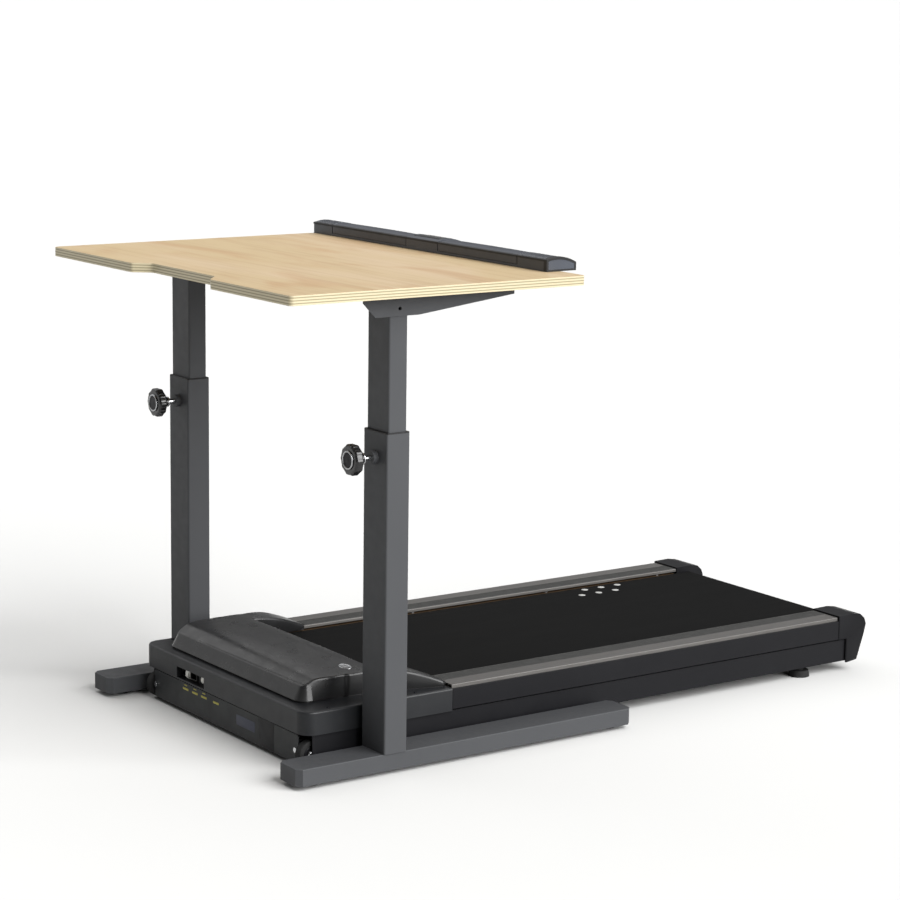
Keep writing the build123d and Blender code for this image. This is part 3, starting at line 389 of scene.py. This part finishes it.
def loft(rings, closed_ends=True):
    """Vertices and faces that join rings of equally many points, each a closed loop."""
    count = len(rings[0])
    vertices = [point for ring in rings for point in ring]
    faces = []
    for row in range(len(rings) - 1):
        for i in range(count):
            j = (i + 1) % count
            faces.append((row * count + i, row * count + j, (row + 1) * count + j, (row + 1) * count + i))
    if closed_ends:
        faces.append(tuple(range(count)))
        faces.append(tuple(range((len(rings) - 1) * count, len(rings) * count)))
    return vertices, faces


def turned(profile, centre, steps=48):
    """A ring-shaped solid: a closed outline of (radius, distance towards -Y) turned about an axis along Y."""
    rings = []
    for step in range(steps):
        angle = 2 * math.pi * step / steps
        rings.append([(centre.x + r * math.cos(angle), centre.y - h, centre.z + r * math.sin(angle))
                      for r, h in profile])
    rings.append(rings[0])
    return loft(rings, closed_ends=False)


def circle_xz(centre, radius, behind, steps):
    """Points of a circle that faces along Y, moved from its centre by a distance towards +Y."""
    return [(centre.x + radius * math.cos(a), centre.y + behind, centre.z + radius * math.sin(a))
            for a in (2 * math.pi * k / steps for k in range(steps))]


def plate(outline, thickness, normal):
    """A flat outline, a list of points, given a thickness along normal, with a softened rim."""
    push = Vector(normal) * thickness
    centre = sum((Vector(p) for p in outline), Vector()) / len(outline)
    rim = [Vector(p) for p in outline]
    shoulder = [p + push * 0.7 for p in rim]
    top = [p + push + (centre - p).normalized() * min(thickness * 0.6, 0.4 * MM) for p in rim]
    return loft([rim, shoulder, top])


def rounded_rectangle(width, height, radius, steps=5):
    """Points of a rounded rectangle about the origin, in its own plane."""
    points = []
    for quarter, (sx, sy) in enumerate(((1, 1), (-1, 1), (-1, -1), (1, -1))):
        for step in range(steps + 1):
            angle = math.pi / 2 * (quarter + step / steps)
            points.append((sx * (width / 2 - radius) + radius * math.cos(angle),
                           sy * (height / 2 - radius) + radius * math.sin(angle)))
    return points


def joined(parts):
    """Several (vertices, faces) pairs as one."""
    vertices, faces = [], []
    for part_vertices, part_faces in parts:
        start = len(vertices)
        vertices.extend(part_vertices)
        faces.extend(tuple(start + i for i in face) for face in part_faces)
    return vertices, faces


# ---- motor hood ----
HOOD_HALF = 300 * MM
HOOD_FRONT_Y, HOOD_REAR_Y = HOOD_LO.y, FRONT + 228 * MM
WING_INNER = ((150, 243), (305, 250), (389, 262))       # distance from the front, distance from the middle
WING_OUTER = ((221, 300), (305, 328), (389, 352))
HOOD_RISE = ((44, 168), (54, 175), (75, 186), (100, 192), (130, 195.5), (400, 197))
WING_FALL = ((0, 260), (180, 203), (221, 192), (270, 184), (305, 177), (345, 164), (389, 146), (420, 134))
CROWN_TOP, CROWN_FALL = 196.5, 8.5
HOOD_ROUND = 6 * MM
HOOD_GRID = 3 * MM
HOOD_REACH = 360 * MM                                    # half the width that the grid covers
HOOD_CORNER, HOOD_REAR_CORNER = 28 * MM, 8 * MM
HOOD_LEAN = 15 * MM                                      # how far the front band leans back
LEAN_START, LEAN_RANGE = 120 * MM, 85 * MM               # the lean fades in over the range ahead of the start
WING_START = 150 * MM                                    # where the shoulders part from the dome
HOOD_LIP_Z = COVER_HI.z + 3.5 * MM


def follow(stations, distance):
    """Smooth interpolation through (distance, value) stations in millimetres, as metres."""
    d = distance / MM
    if d <= stations[0][0]:
        return stations[0][1] * MM
    for k in range(len(stations) - 1):
        (d0, v0), (d1, v1) = stations[k], stations[k + 1]
        if d <= d1:
            before = stations[k - 1] if k else stations[0]
            after = stations[k + 2] if k + 2 < len(stations) else stations[-1]
            m0 = (v1 - before[1]) / (d1 - before[0]) * (d1 - d0)
            m1 = (after[1] - v0) / (after[0] - d0) * (d1 - d0)
            t = (d - d0) / (d1 - d0)
            value = ((2 * t ** 3 - 3 * t ** 2 + 1) * v0 + (t ** 3 - 2 * t ** 2 + t) * m0
                     + (3 * t ** 2 - 2 * t ** 3) * v1 + (t ** 3 - t ** 2) * m1)
            return value * MM
    return stations[-1][1] * MM


def soft_min(a, b, width):
    """The smaller of two values, with the change from one to the other smoothed."""
    h = max(width - abs(a - b), 0.0) / width
    return min(a, b) - h * h * width / 4


def hood_top(x, y):
    """Height of the hood: crowned across its width, rising from the front, falling along the shoulders."""
    crown = (CROWN_TOP - CROWN_FALL * (x / HOOD_HALF) ** 2) * MM
    distance = y - FRONT
    top = soft_min(follow(HOOD_RISE, distance), crown, 8 * MM)
    return soft_min(top, follow(WING_FALL, distance), 7 * MM)


def hood_inside(x, y):
    """Distance in from the hood's outline, positive inside: the dome and its two shoulders."""
    x = abs(x)
    middle = (HOOD_FRONT_Y + HOOD_REAR_Y) / 2
    corner = HOOD_CORNER if y < middle else HOOD_REAR_CORNER
    qx = x - (HOOD_HALF - corner)
    qy = abs(y - middle) - ((HOOD_REAR_Y - HOOD_FRONT_Y) / 2 - corner)
    dome = corner - math.hypot(max(qx, 0), max(qy, 0)) - min(max(qx, qy), 0)
    distance = y - FRONT
    wing = min(x - follow(WING_INNER, distance), follow(WING_OUTER, distance) - x,
               HOOD_HI.y - y, y - (FRONT + WING_START))
    return -soft_min(-dome, -wing, 14 * MM)


def hood_lean(y):
    """How far in the top's edge stands from the outline, so that the front band leans back."""
    t = min(max((FRONT + LEAN_START - y) / LEAN_RANGE, 0.0), 1.0)
    return HOOD_LEAN * t * t * (3 - 2 * t)


def hood_edge_distance(x, y):
    return hood_inside(x, y) - hood_lean(y)


def outward(x, y):
    """Unit direction out of the hood's outline."""
    step = 0.5 * MM
    gx = hood_edge_distance(x + step, y) - hood_edge_distance(x - step, y)
    gy = hood_edge_distance(x, y + step) - hood_edge_distance(x, y - step)
    length = math.hypot(gx, gy) or 1.0
    return -gx / length, -gy / length


def hood_sheet():
    """The top as a grid whose border is pulled onto the line where the rounded edge starts."""
    columns = int(2 * HOOD_REACH / HOOD_GRID)
    rows = int((HOOD_HI.y - HOOD_FRONT_Y) / HOOD_GRID) + 2
    kept = {}
    for i in range(columns + 1):
        for j in range(rows + 1):
            x, y = (i - columns / 2) * HOOD_GRID, HOOD_FRONT_Y + j * HOOD_GRID
            if hood_edge_distance(x, y) > HOOD_ROUND - HOOD_GRID / 2:
                kept[i, j] = [x, y]
    cells = [cell for cell in (((i, j), (i + 1, j), (i + 1, j + 1), (i, j + 1)) for i, j in kept)
             if all(corner in kept for corner in cell)]
    uses = {}
    for cell in cells:
        for a, b in zip(cell, cell[1:] + cell[:1]):
            uses[frozenset((a, b))] = uses.get(frozenset((a, b)), 0) + 1
    border = {corner for edge, count in uses.items() if count == 1 for corner in edge}
    for corner in border:
        for _ in range(4):
            x, y = kept[corner]
            nx, ny = outward(x, y)
            short = hood_edge_distance(x, y) - HOOD_ROUND
            kept[corner] = [x + nx * short, y + ny * short]
    return kept, cells


def motor_hood():
    """The hood's shell: the top, its rounded edge, the wall down to the lip, and the lip's underside."""
    kept, cells = hood_sheet()
    used = sorted({corner for cell in cells for corner in cell})
    number = {corner: index for index, corner in enumerate(used)}
    build = bmesh.new()
    points = [build.verts.new((*kept[c], hood_top(*kept[c]))) for c in used]
    for cell in cells:
        build.faces.new([points[number[c]] for c in cell])
    rim = [edge for edge in build.edges if edge.is_boundary]
    anchors = {v: (v.co.copy(), outward(v.co.x, v.co.y)) for edge in rim for v in edge.verts}
    offsets = []                             # (distance out, share of the lean, drop, or else the height)
    for step in range(1, 7):
        angle = math.radians(15 * step)
        offsets.append((HOOD_ROUND * math.sin(angle), 0.0, HOOD_ROUND * (1 - math.cos(angle)), None))
    offsets += [(HOOD_ROUND, 1.0, 0.0, HOOD_LIP_Z + 1.2 * MM), (HOOD_ROUND - 0.8 * MM, 1.0, 0.0, HOOD_LIP_Z),
                (HOOD_ROUND - 5 * MM, 1.0, 0.0, HOOD_LIP_Z),
                (HOOD_ROUND - 5 * MM, 1.0, 0.0, COVER_HI.z + 0.2 * MM)]
    below = {v: v for v in anchors}
    for out, lean, drop, level in offsets:
        ring = {}
        for v, (start, (nx, ny)) in anchors.items():
            reach = out + lean * hood_lean(start.y)
            z = start.z - drop if level is None else level
            ring[v] = build.verts.new((start.x + nx * reach, start.y + ny * reach, z))
        for edge in rim:
            a, b = edge.verts
            build.faces.new((below[a], below[b], ring[b], ring[a]))
        below = ring
    bmesh.ops.recalc_face_normals(build, faces=build.faces)
    mesh = bpy.data.meshes.new("hood_shell")
    build.to_mesh(mesh)
    build.free()
    for polygon in mesh.polygons:
        polygon.use_smooth = True
    obj = bpy.data.objects.new("hood_shell", mesh)
    bpy.context.scene.collection.objects.link(obj)
    mesh.materials.append(HOOD)
    shading = obj.modifiers.new("shading", "EDGE_SPLIT")
    shading.split_angle = math.radians(50)
    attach(obj, "base")
    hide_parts("motor_hood")


BADGE_X, BADGE_Y = 0.252, FRONT + 176 * MM
BADGE_HALF_WIDTH, BADGE_HALF_DEPTH = 20 * MM, 13 * MM
# (share of its size, lift in millimetres)
BADGE = ((1.0, -0.4), (1.0, 0.7), (0.93, 1.2), (0.86, 1.2), (0.8, 0.8), (0.4, 1.1), (0.02, 1.2))


def hood_badge():
    """A plain oval boss on the dome."""
    rings = []
    for share, lift in BADGE:
        ring = []
        for step in range(48):
            angle = 2 * math.pi * step / 48
            x = BADGE_X + BADGE_HALF_WIDTH * share * math.cos(angle)
            y = BADGE_Y + BADGE_HALF_DEPTH * share * math.sin(angle)
            ring.append((x, y, hood_top(x, y) + lift * MM))
        rings.append(ring)
    piece("hood_badge", *loft(rings), SILVER, "base", "cover_plastic")


# ---- foot rails and belt ----
def grip_strips():
    """Rubber inserts with fine lengthwise ribs."""
    lo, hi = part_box("grip_strips")
    width, rib, count = 41 * MM, 0.9 * MM, 10
    pitch = width / count
    for side, name in ((1, "grip_strip_right"), (-1, "grip_strip_left")):
        inner = hi.x - width
        outline = [(inner, lo.z)]
        for k in range(count):
            start = inner + k * pitch
            outline += [(start + 0.10 * pitch, hi.z - rib), (start + 0.25 * pitch, hi.z - 0.15 * MM),
                        (start + 0.45 * pitch, hi.z), (start + 0.60 * pitch, hi.z - 0.15 * MM),
                        (start + 0.75 * pitch, hi.z - rib)]
        outline.append((hi.x, lo.z))
        rings = [[(side * x, y, z) for x, z in outline] for y in (lo.y, hi.y)]
        strip = piece(name, *loft(rings), GRIP, "base", "grip_rubber", smooth=False)
        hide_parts("grip_strips")


MARK_RADIUS = 9 * MM
# (x, distances from the front) in millimetres
MARK_ROWS = ((-245, (1237, 1291, 1345)), (-201, (1194, 1249, 1304)))


def belt_marks():
    """Six plain round marks printed on the belt near its rear left edge."""
    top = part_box("walking_belt")[1].z
    parts = []
    for x, distances in MARK_ROWS:
        for distance in distances:
            centre = Vector((x * MM, FRONT + distance * MM, top))
            ring = [centre + Vector((MARK_RADIUS * math.cos(a), MARK_RADIUS * math.sin(a), 0))
                    for a in (2 * math.pi * k / 32 for k in range(32))]
            parts.append(plate(ring, 0.25 * MM, (0, 0, 1)))
    piece("belt_marks", *joined(parts), GREY_INK, "base", "belt_rubber")


# ---- front of the treadmill ----
def upright_plate(x, z, width, height, radius, front_y, thickness):
    """A rounded rectangle standing on a face that looks along -Y."""
    outline = [(x + dx, front_y, z + dz) for dx, dz in rounded_rectangle(width, height, radius)]
    return plate(outline, thickness, (0, -1, 0))


def frame_ring(x, z, width, height, wall, front_y, thickness):
    """A rectangular bezel round an opening that looks along -Y."""
    inner = rounded_rectangle(width, height, 1.0 * MM)
    outer = rounded_rectangle(width + 2 * wall, height + 2 * wall, 1.6 * MM)
    lip = rounded_rectangle(width + 1.2 * wall, height + 1.2 * wall, 1.3 * MM)
    section = ((inner, 0), (outer, 0), (outer, 0.6 * thickness), (lip, thickness), (inner, 0.7 * thickness))
    rings = [[(x + dx, front_y - depth, z + dz) for dx, dz in outline] for outline, depth in section]
    return loft(rings + [rings[0]], closed_ends=False)


def panel_graphics():
    """Blank label and plain coloured dashes in place of the printing on the lower panel, and a black plate
    where the panel has a dark recess, its darkness partly painted shade.
    """
    face = PANEL_LO.y
    # black plate for the panel's recess: painted shade of the recess, over the recess's own dark colour
    piece("panel_recess_shade", *upright_plate(190 * MM, 44 * MM, 68 * MM, 66 * MM, 1 * MM, face, 0.3 * MM),
          BLACK, "base", "cover_plastic")
    piece("panel_label", *upright_plate(100 * MM, 47 * MM, 82 * MM, 24 * MM, 2 * MM, face, 0.4 * MM),
          LABEL, "base", "cover_plastic")
    dashes = [upright_plate(x * MM, 62 * MM, 26 * MM, 5 * MM, 1.5 * MM, face, 0.3 * MM)
              for x in (-176, -132, -90, -34)]
    dashes += [upright_plate(x * MM, 71 * MM, 14 * MM, 2.5 * MM, 1 * MM, face, 0.3 * MM)
               for x in (-176, -132, -90)]
    piece("panel_dashes", *joined(dashes), YELLOW, "base", "cover_plastic")


SOCKET_RECESS = 17 * MM                                  # depth of the socket plate behind the front face
ROCKER_Z = 99 * MM


def socket_trim():
    """Bezels of the rocker switch, inlet and reset button, on the recessed plate."""
    inlet_lo, inlet_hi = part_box("power_inlet")
    switch_lo, switch_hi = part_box("rocker_switch")
    reset_lo, reset_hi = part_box("breaker_button")
    back = FRONT + SOCKET_RECESS
    switch = (switch_lo + switch_hi) / 2
    inlet = (inlet_lo + inlet_hi) / 2
    reset = (reset_lo + reset_hi) / 2
    rocker = frame_ring(switch.x, ROCKER_Z, 14 * MM, 21 * MM, 2.2 * MM, back - 0.1 * MM, 2 * MM)
    piece("rocker_bezel", *rocker, WHITE, "base", "switch_plastic")
    socket = frame_ring(inlet.x, inlet.z, 24.6 * MM, 16.6 * MM, 3.4 * MM, inlet_lo.y - 0.1 * MM, 1.2 * MM)
    piece("inlet_bezel", *socket, BLACK, "base", "black_plastic")
    ring = turned([(4.4 * MM, 0), (8 * MM, 0), (8 * MM, 1.2 * MM), (7 * MM, 1.8 * MM), (4.4 * MM, 1.8 * MM)],
                  Vector((reset.x, back - 3 * MM, reset.z)), 32)
    piece("reset_ring", *ring, WHITE, "base", "switch_plastic")


# (radius, depth in from the wheel's side) in millimetres
HUB = ((19, 5), (19, 1.4), (17, 0.6), (12, 1.6), (10.6, 1.6), (10.6, 5))


def wheel_hubs():
    """Plastic hub caps in the transport wheels."""
    for side in ("right", "left"):
        lo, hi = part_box(f"transport_wheel_{side}")
        centre = (lo + hi) / 2
        sign = 1 if side == "right" else -1
        rings = []
        for radius, depth in HUB:
            x = (hi.x if sign > 0 else lo.x) - sign * depth * MM
            ring = []
            for step in range(40):
                angle = 2 * math.pi * step / 40
                ring.append((x, centre.y + radius * MM * math.cos(angle),
                             centre.z + radius * MM * math.sin(angle)))
            rings.append(ring)
        piece(f"wheel_hub_{side}", *loft(rings + [rings[0]], closed_ends=False), CAP,
              f"wheel_{side}", "foot_rubber")


# ---- lock knobs: outlines as (radius, distance towards -Y) in millimetres ----
KNOB_RING = ((20.0, -1.5), (20.6, 0.2), (19.6, 1.2), (18.4, 1.4), (17.2, 1.0), (16.8, -0.4))
KNOB_DISC = ((16.9, -0.6), (16.6, 0.5), (14, 0.3), (9, 0.1), (4, 0.35), (0.3, 0.5))
KNOB_SLEEVE = ((7.4, 2), (13.4, 2), (13.4, 0.4), (12.2, -2.2), (9.4, -4.2), (7.4, -4.6))


def in_metres(outline):
    return [(radius * MM, height * MM) for radius, height in outline]


def knob_trim(side):
    """Bright ring and dished disc on the knob's face, and a sleeve where the shank enters it."""
    lo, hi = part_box(f"lock_knob_{side}")
    face = Vector(((lo.x + hi.x) / 2, lo.y, (lo.z + hi.z) / 2))
    piece(f"knob_ring_{side}", *turned(in_metres(KNOB_RING), face, 64), SILVER, f"lock_{side}", "chrome")
    rings = [circle_xz(face, radius * MM, -height * MM, 48) for radius, height in KNOB_DISC]
    piece(f"knob_disc_{side}", *loft(rings), OXIDE, f"lock_{side}", "knob_plastic")
    start = Vector((face.x, hi.y, face.z))
    piece(f"knob_sleeve_{side}", *turned(in_metres(KNOB_SLEEVE), start, 48), CHROME,
          f"lock_{side}", "chrome")


# ---- console bar ----
BAR_FACE, BAR_CREST, BAR_USER = 26 * MM, 31 * MM, 18 * MM   # heights above the desktop


def bar_height(y):
    """The crown of the bar: an arc from its front face over the crest to the user's side."""
    front, rear, crest_y = BAR_LO.y, BAR_LO.y + BAR_DEPTH, BAR_LO.y + 36 * MM
    points = ((front, BAR_FACE), (crest_y, BAR_CREST), (rear, BAR_USER))
    total = 0.0
    for k, (yk, zk) in enumerate(points):
        others = [p[0] for i, p in enumerate(points) if i != k]
        total += zk * (y - others[0]) * (y - others[1]) / ((yk - others[0]) * (yk - others[1]))
    return DESK_HI.z + total


def bar_outline(low, inset=0.0, lift=0.0, steps=18):
    """The bar's cross-section above low, drawn in by inset, as (y, z) points."""
    front, rear = BAR_LO.y + inset, BAR_LO.y + BAR_DEPTH - inset
    points = [(front, low + inset), (rear, low + inset)]
    for step in range(steps + 1):
        y = rear + (front - rear) * step / steps
        points.append((y, bar_height(y) - inset + lift))
    return points


# (distance from the end, inset) in millimetres
PAD_END = ((0, 2.2), (0.3, 1.2), (1.0, 0.5), (2.2, 0.05), (5, 0))


def armrest_pads():
    """Skinned foam pads, softly crowned along their length, with rounded ends."""
    lo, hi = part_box("armrest_pads")
    module_lo, module_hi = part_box("console_module")
    for name, x0, x1 in (("armrest_pad_left", lo.x, module_lo.x - 1 * MM),
                         ("armrest_pad_right", module_hi.x + 1 * MM, hi.x)):
        rings = []
        for depth, inset in PAD_END:
            rings.append([(x0 + depth * MM, y, z) for y, z in bar_outline(lo.z, inset * MM)])
        for share in (0.1, 0.25, 0.5, 0.75, 0.9):
            swell = 0.9 * MM * math.sin(math.pi * share)
            x = x0 + (x1 - x0) * share
            rings.append([(x, y, z) for y, z in bar_outline(lo.z, 0, swell)])
        for depth, inset in PAD_END[::-1]:
            rings.append([(x1 - depth * MM, y, z) for y, z in bar_outline(lo.z, inset * MM)])
        pad = piece(name, *loft(rings), PAD, "desk", "armrest_foam")
        round_edges(pad, 1.6, 3)
        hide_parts("armrest_pads")


def bar_skin(name, x0, x1, start, end, lift, thick, material):
    """A thin curved strip lying on the bar's crown between two distances from its front face."""
    steps = 20
    upper, lower = [], []
    for step in range(steps + 1):
        y = BAR_LO.y + start + (end - start) * step / steps
        upper.append((y, bar_height(y) + lift))
        lower.append((y, bar_height(y) + lift - thick))
    outline = upper + lower[::-1]
    strip = piece(name, *loft([[(x, y, z) for y, z in outline] for x in (x0, x1)]), material,
                  "desk", "console_plastic")
    round_edges(strip, 0.4)


def bar_trim():
    """Glossy crown skins, the dark lip along their front edge, and the end cap's band and panel; the skins
    and the panel are a shade lighter than the bar, a painted highlight.
    """
    lo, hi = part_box("console_base")
    module_lo, module_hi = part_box("console_module")
    pads_lo, pads_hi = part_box("armrest_pads")
    spans = ((lo.x + 1 * MM, pads_lo.x - 1 * MM), (pads_hi.x + 1 * MM, hi.x - 10 * MM))
    for number, (x0, x1) in enumerate(spans):
        bar_skin(f"bar_crown_{number}", x0, x1, 3 * MM, 77 * MM, 0.9 * MM, 1.6 * MM, CONSOLE_GLOSS_PAINTED_HIGHLIGHT)
    lip_spans = (("lip_left_block", lo.x, pads_lo.x - 1 * MM),
                 ("lip_left_pad", pads_lo.x, module_lo.x - 1 * MM),
                 ("lip_module", module_lo.x, module_hi.x),
                 ("lip_right_pad", module_hi.x + 1 * MM, pads_hi.x),
                 ("lip_right_block", pads_hi.x + 1 * MM, hi.x))
    for name, x0, x1 in lip_spans:
        bar_skin(f"bar_{name}", x0, x1, -1.2 * MM, 3.5 * MM, 1.4 * MM, 4.2 * MM, BLACK)
    outer = bar_outline(DESK_HI.z, -1.0 * MM, 0.6 * MM)
    inner = bar_outline(DESK_HI.z, 4.5 * MM)
    panel = bar_outline(DESK_HI.z, 4.6 * MM)
    outer = [(y, max(z, DESK_HI.z + 0.2 * MM)) for y, z in outer]
    band = loft([[(hi.x - 10 * MM, y, z) for y, z in outer], [(hi.x + 1.6 * MM, y, z) for y, z in outer],
                 [(hi.x + 1.6 * MM, y, z) for y, z in inner], [(hi.x + 0.3 * MM, y, z) for y, z in inner]])
    rim = piece("bar_end_band", *band, BLACK, "desk", "console_plastic", smooth=False)
    round_edges(rim, 0.5)
    face = loft([[(hi.x + 0.2 * MM, y, z) for y, z in panel], [(hi.x + 1.1 * MM, y, z) for y, z in panel]])
    # end panel in the same lightened gloss: painted highlight
    piece("bar_end_panel", *face, CONSOLE_GLOSS_PAINTED_HIGHLIGHT, "desk", "console_plastic", smooth=False)


def module_bezel():
    """Raised frame round the display window."""
    lo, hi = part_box("console_lens")
    rings = []
    for grow, lift in ((0.6, 0.0), (0.8, 1.0), (2.4, 1.0), (3.0, 0.0)):
        ring = []
        for sx, sy in ((-1, -1), (1, -1), (1, 1), (-1, 1)):
            x = (lo.x if sx < 0 else hi.x) + sx * grow * MM
            y = (lo.y if sy < 0 else hi.y) + sy * grow * MM
            ring.append((x, y, bar_height(y) + (1.9 + lift) * MM))
        rings.append(ring)
    bezel = piece("display_bezel", *loft(rings + [rings[0]], closed_ends=False), BLACK,
                  "desk", "console_plastic", smooth=False)
    round_edges(bezel, 0.3)


# ---- stage ----
FLOOR_HALF = 400.0


def floor_paint():
    finish = Finish("studio_floor", "bfbfbe", 0.9, specular=0.1)
    finish.tint(finish.between(finish.noise(0.6), 0.4, 0.7, 0.0, 0.3), "bbbbba")
    return finish.material


def stage():
    """The studio floor."""
    mesh = bpy.data.meshes.new("floor")
    corners = [(x * FLOOR_HALF, y * FLOOR_HALF, 0) for x, y in ((-1, -1), (1, -1), (1, 1), (-1, 1))]
    mesh.from_pydata(corners, [], [(0, 1, 2, 3)])
    floor = bpy.data.objects.new("floor", mesh)
    bpy.context.scene.collection.objects.link(floor)
    mesh.materials.append(floor_paint())


BRIGHT_SIDE = Vector((-0.85, -0.45, 0.28)).normalized()


def sun(name, azimuth, elevation, energy, spread):
    """A distant soft light that shines from that azimuth, 0 being from +X and 90 from +Y."""
    data = bpy.data.lights.new(name, "SUN")
    data.energy = energy
    data.angle = math.radians(spread)
    lamp = bpy.data.objects.new(name, data)
    bpy.context.scene.collection.objects.link(lamp)
    a, e = math.radians(azimuth), math.radians(elevation)
    source = Vector((math.cos(a) * math.cos(e), math.sin(a) * math.cos(e), math.sin(e)))
    lamp.rotation_mode = "QUATERNION"
    lamp.rotation_quaternion = source.to_track_quat("Z", "Y")


def lights():
    sun("key", 18, 31, 7.6, 60)
    sun("top", 150, 70, 1.8, 90)


def surroundings():
    """Soft white walls, brightest in one direction and dim elsewhere."""
    world = bpy.data.worlds.new("studio")
    world.use_nodes = True
    tree = world.node_tree
    glow = tree.nodes.new("ShaderNodeVectorMath")
    glow.operation = "DOT_PRODUCT"
    glow.inputs[1].default_value = BRIGHT_SIDE
    tree.links.new(tree.nodes.new("ShaderNodeTexCoord").outputs["Generated"], glow.inputs[0])
    level = tree.nodes.new("ShaderNodeMapRange")
    for name, number in (("From Min", 0.75), ("From Max", 1.0), ("To Min", 0.15), ("To Max", 1.0)):
        level.inputs[name].default_value = number
    tree.links.new(glow.outputs["Value"], level.inputs["Value"])
    tree.links.new(level.outputs["Result"], tree.nodes["Background"].inputs["Strength"])
    tree.nodes["Background"].inputs["Color"].default_value = (1.0, 1.0, 1.0, 1.0)
    bpy.context.scene.world = world
    bpy.context.scene.view_settings.view_transform = "Standard"


CAMERA_PLACE = (5.0615, -3.6618, 1.7346)
CAMERA_ANGLES = (55.10, 10.42, 0.763)                    # azimuth, elevation and roll in degrees
SENSOR_WIDTH, FOCAL_LENGTH = 36.0, 105.38                # in millimetres


def camera():
    azimuth, elevation, roll = (math.radians(angle) for angle in CAMERA_ANGLES)
    ahead = Vector((-math.sin(azimuth) * math.cos(elevation), math.cos(azimuth) * math.cos(elevation),
                    -math.sin(elevation)))
    right = Vector((math.cos(azimuth), math.sin(azimuth), 0))
    up = right.cross(ahead)
    level_right = right * math.cos(roll) + up * math.sin(roll)
    level_up = up * math.cos(roll) - right * math.sin(roll)
    data = bpy.data.cameras.new("camera")
    data.sensor_width = SENSOR_WIDTH
    data.lens = FOCAL_LENGTH
    data.clip_end = 1000.0
    view = bpy.data.objects.new("camera", data)
    bpy.context.scene.collection.objects.link(view)
    rotation = Matrix((level_right, level_up, -ahead)).transposed().to_4x4()
    view.matrix_world = Matrix.Translation(CAMERA_PLACE) @ rotation
    bpy.context.scene.camera = view


for finish, edge_radius, names in DRESS:
    for node_name in names:
        dress(node_name, finish, edge_radius)
motor_hood()
hood_badge()
grip_strips()
belt_marks()
panel_graphics()
socket_trim()
wheel_hubs()
for hand in ("right", "left"):
    knob_trim(hand)
armrest_pads()
bar_trim()
module_bezel()
stage()
lights()
surroundings()
camera()
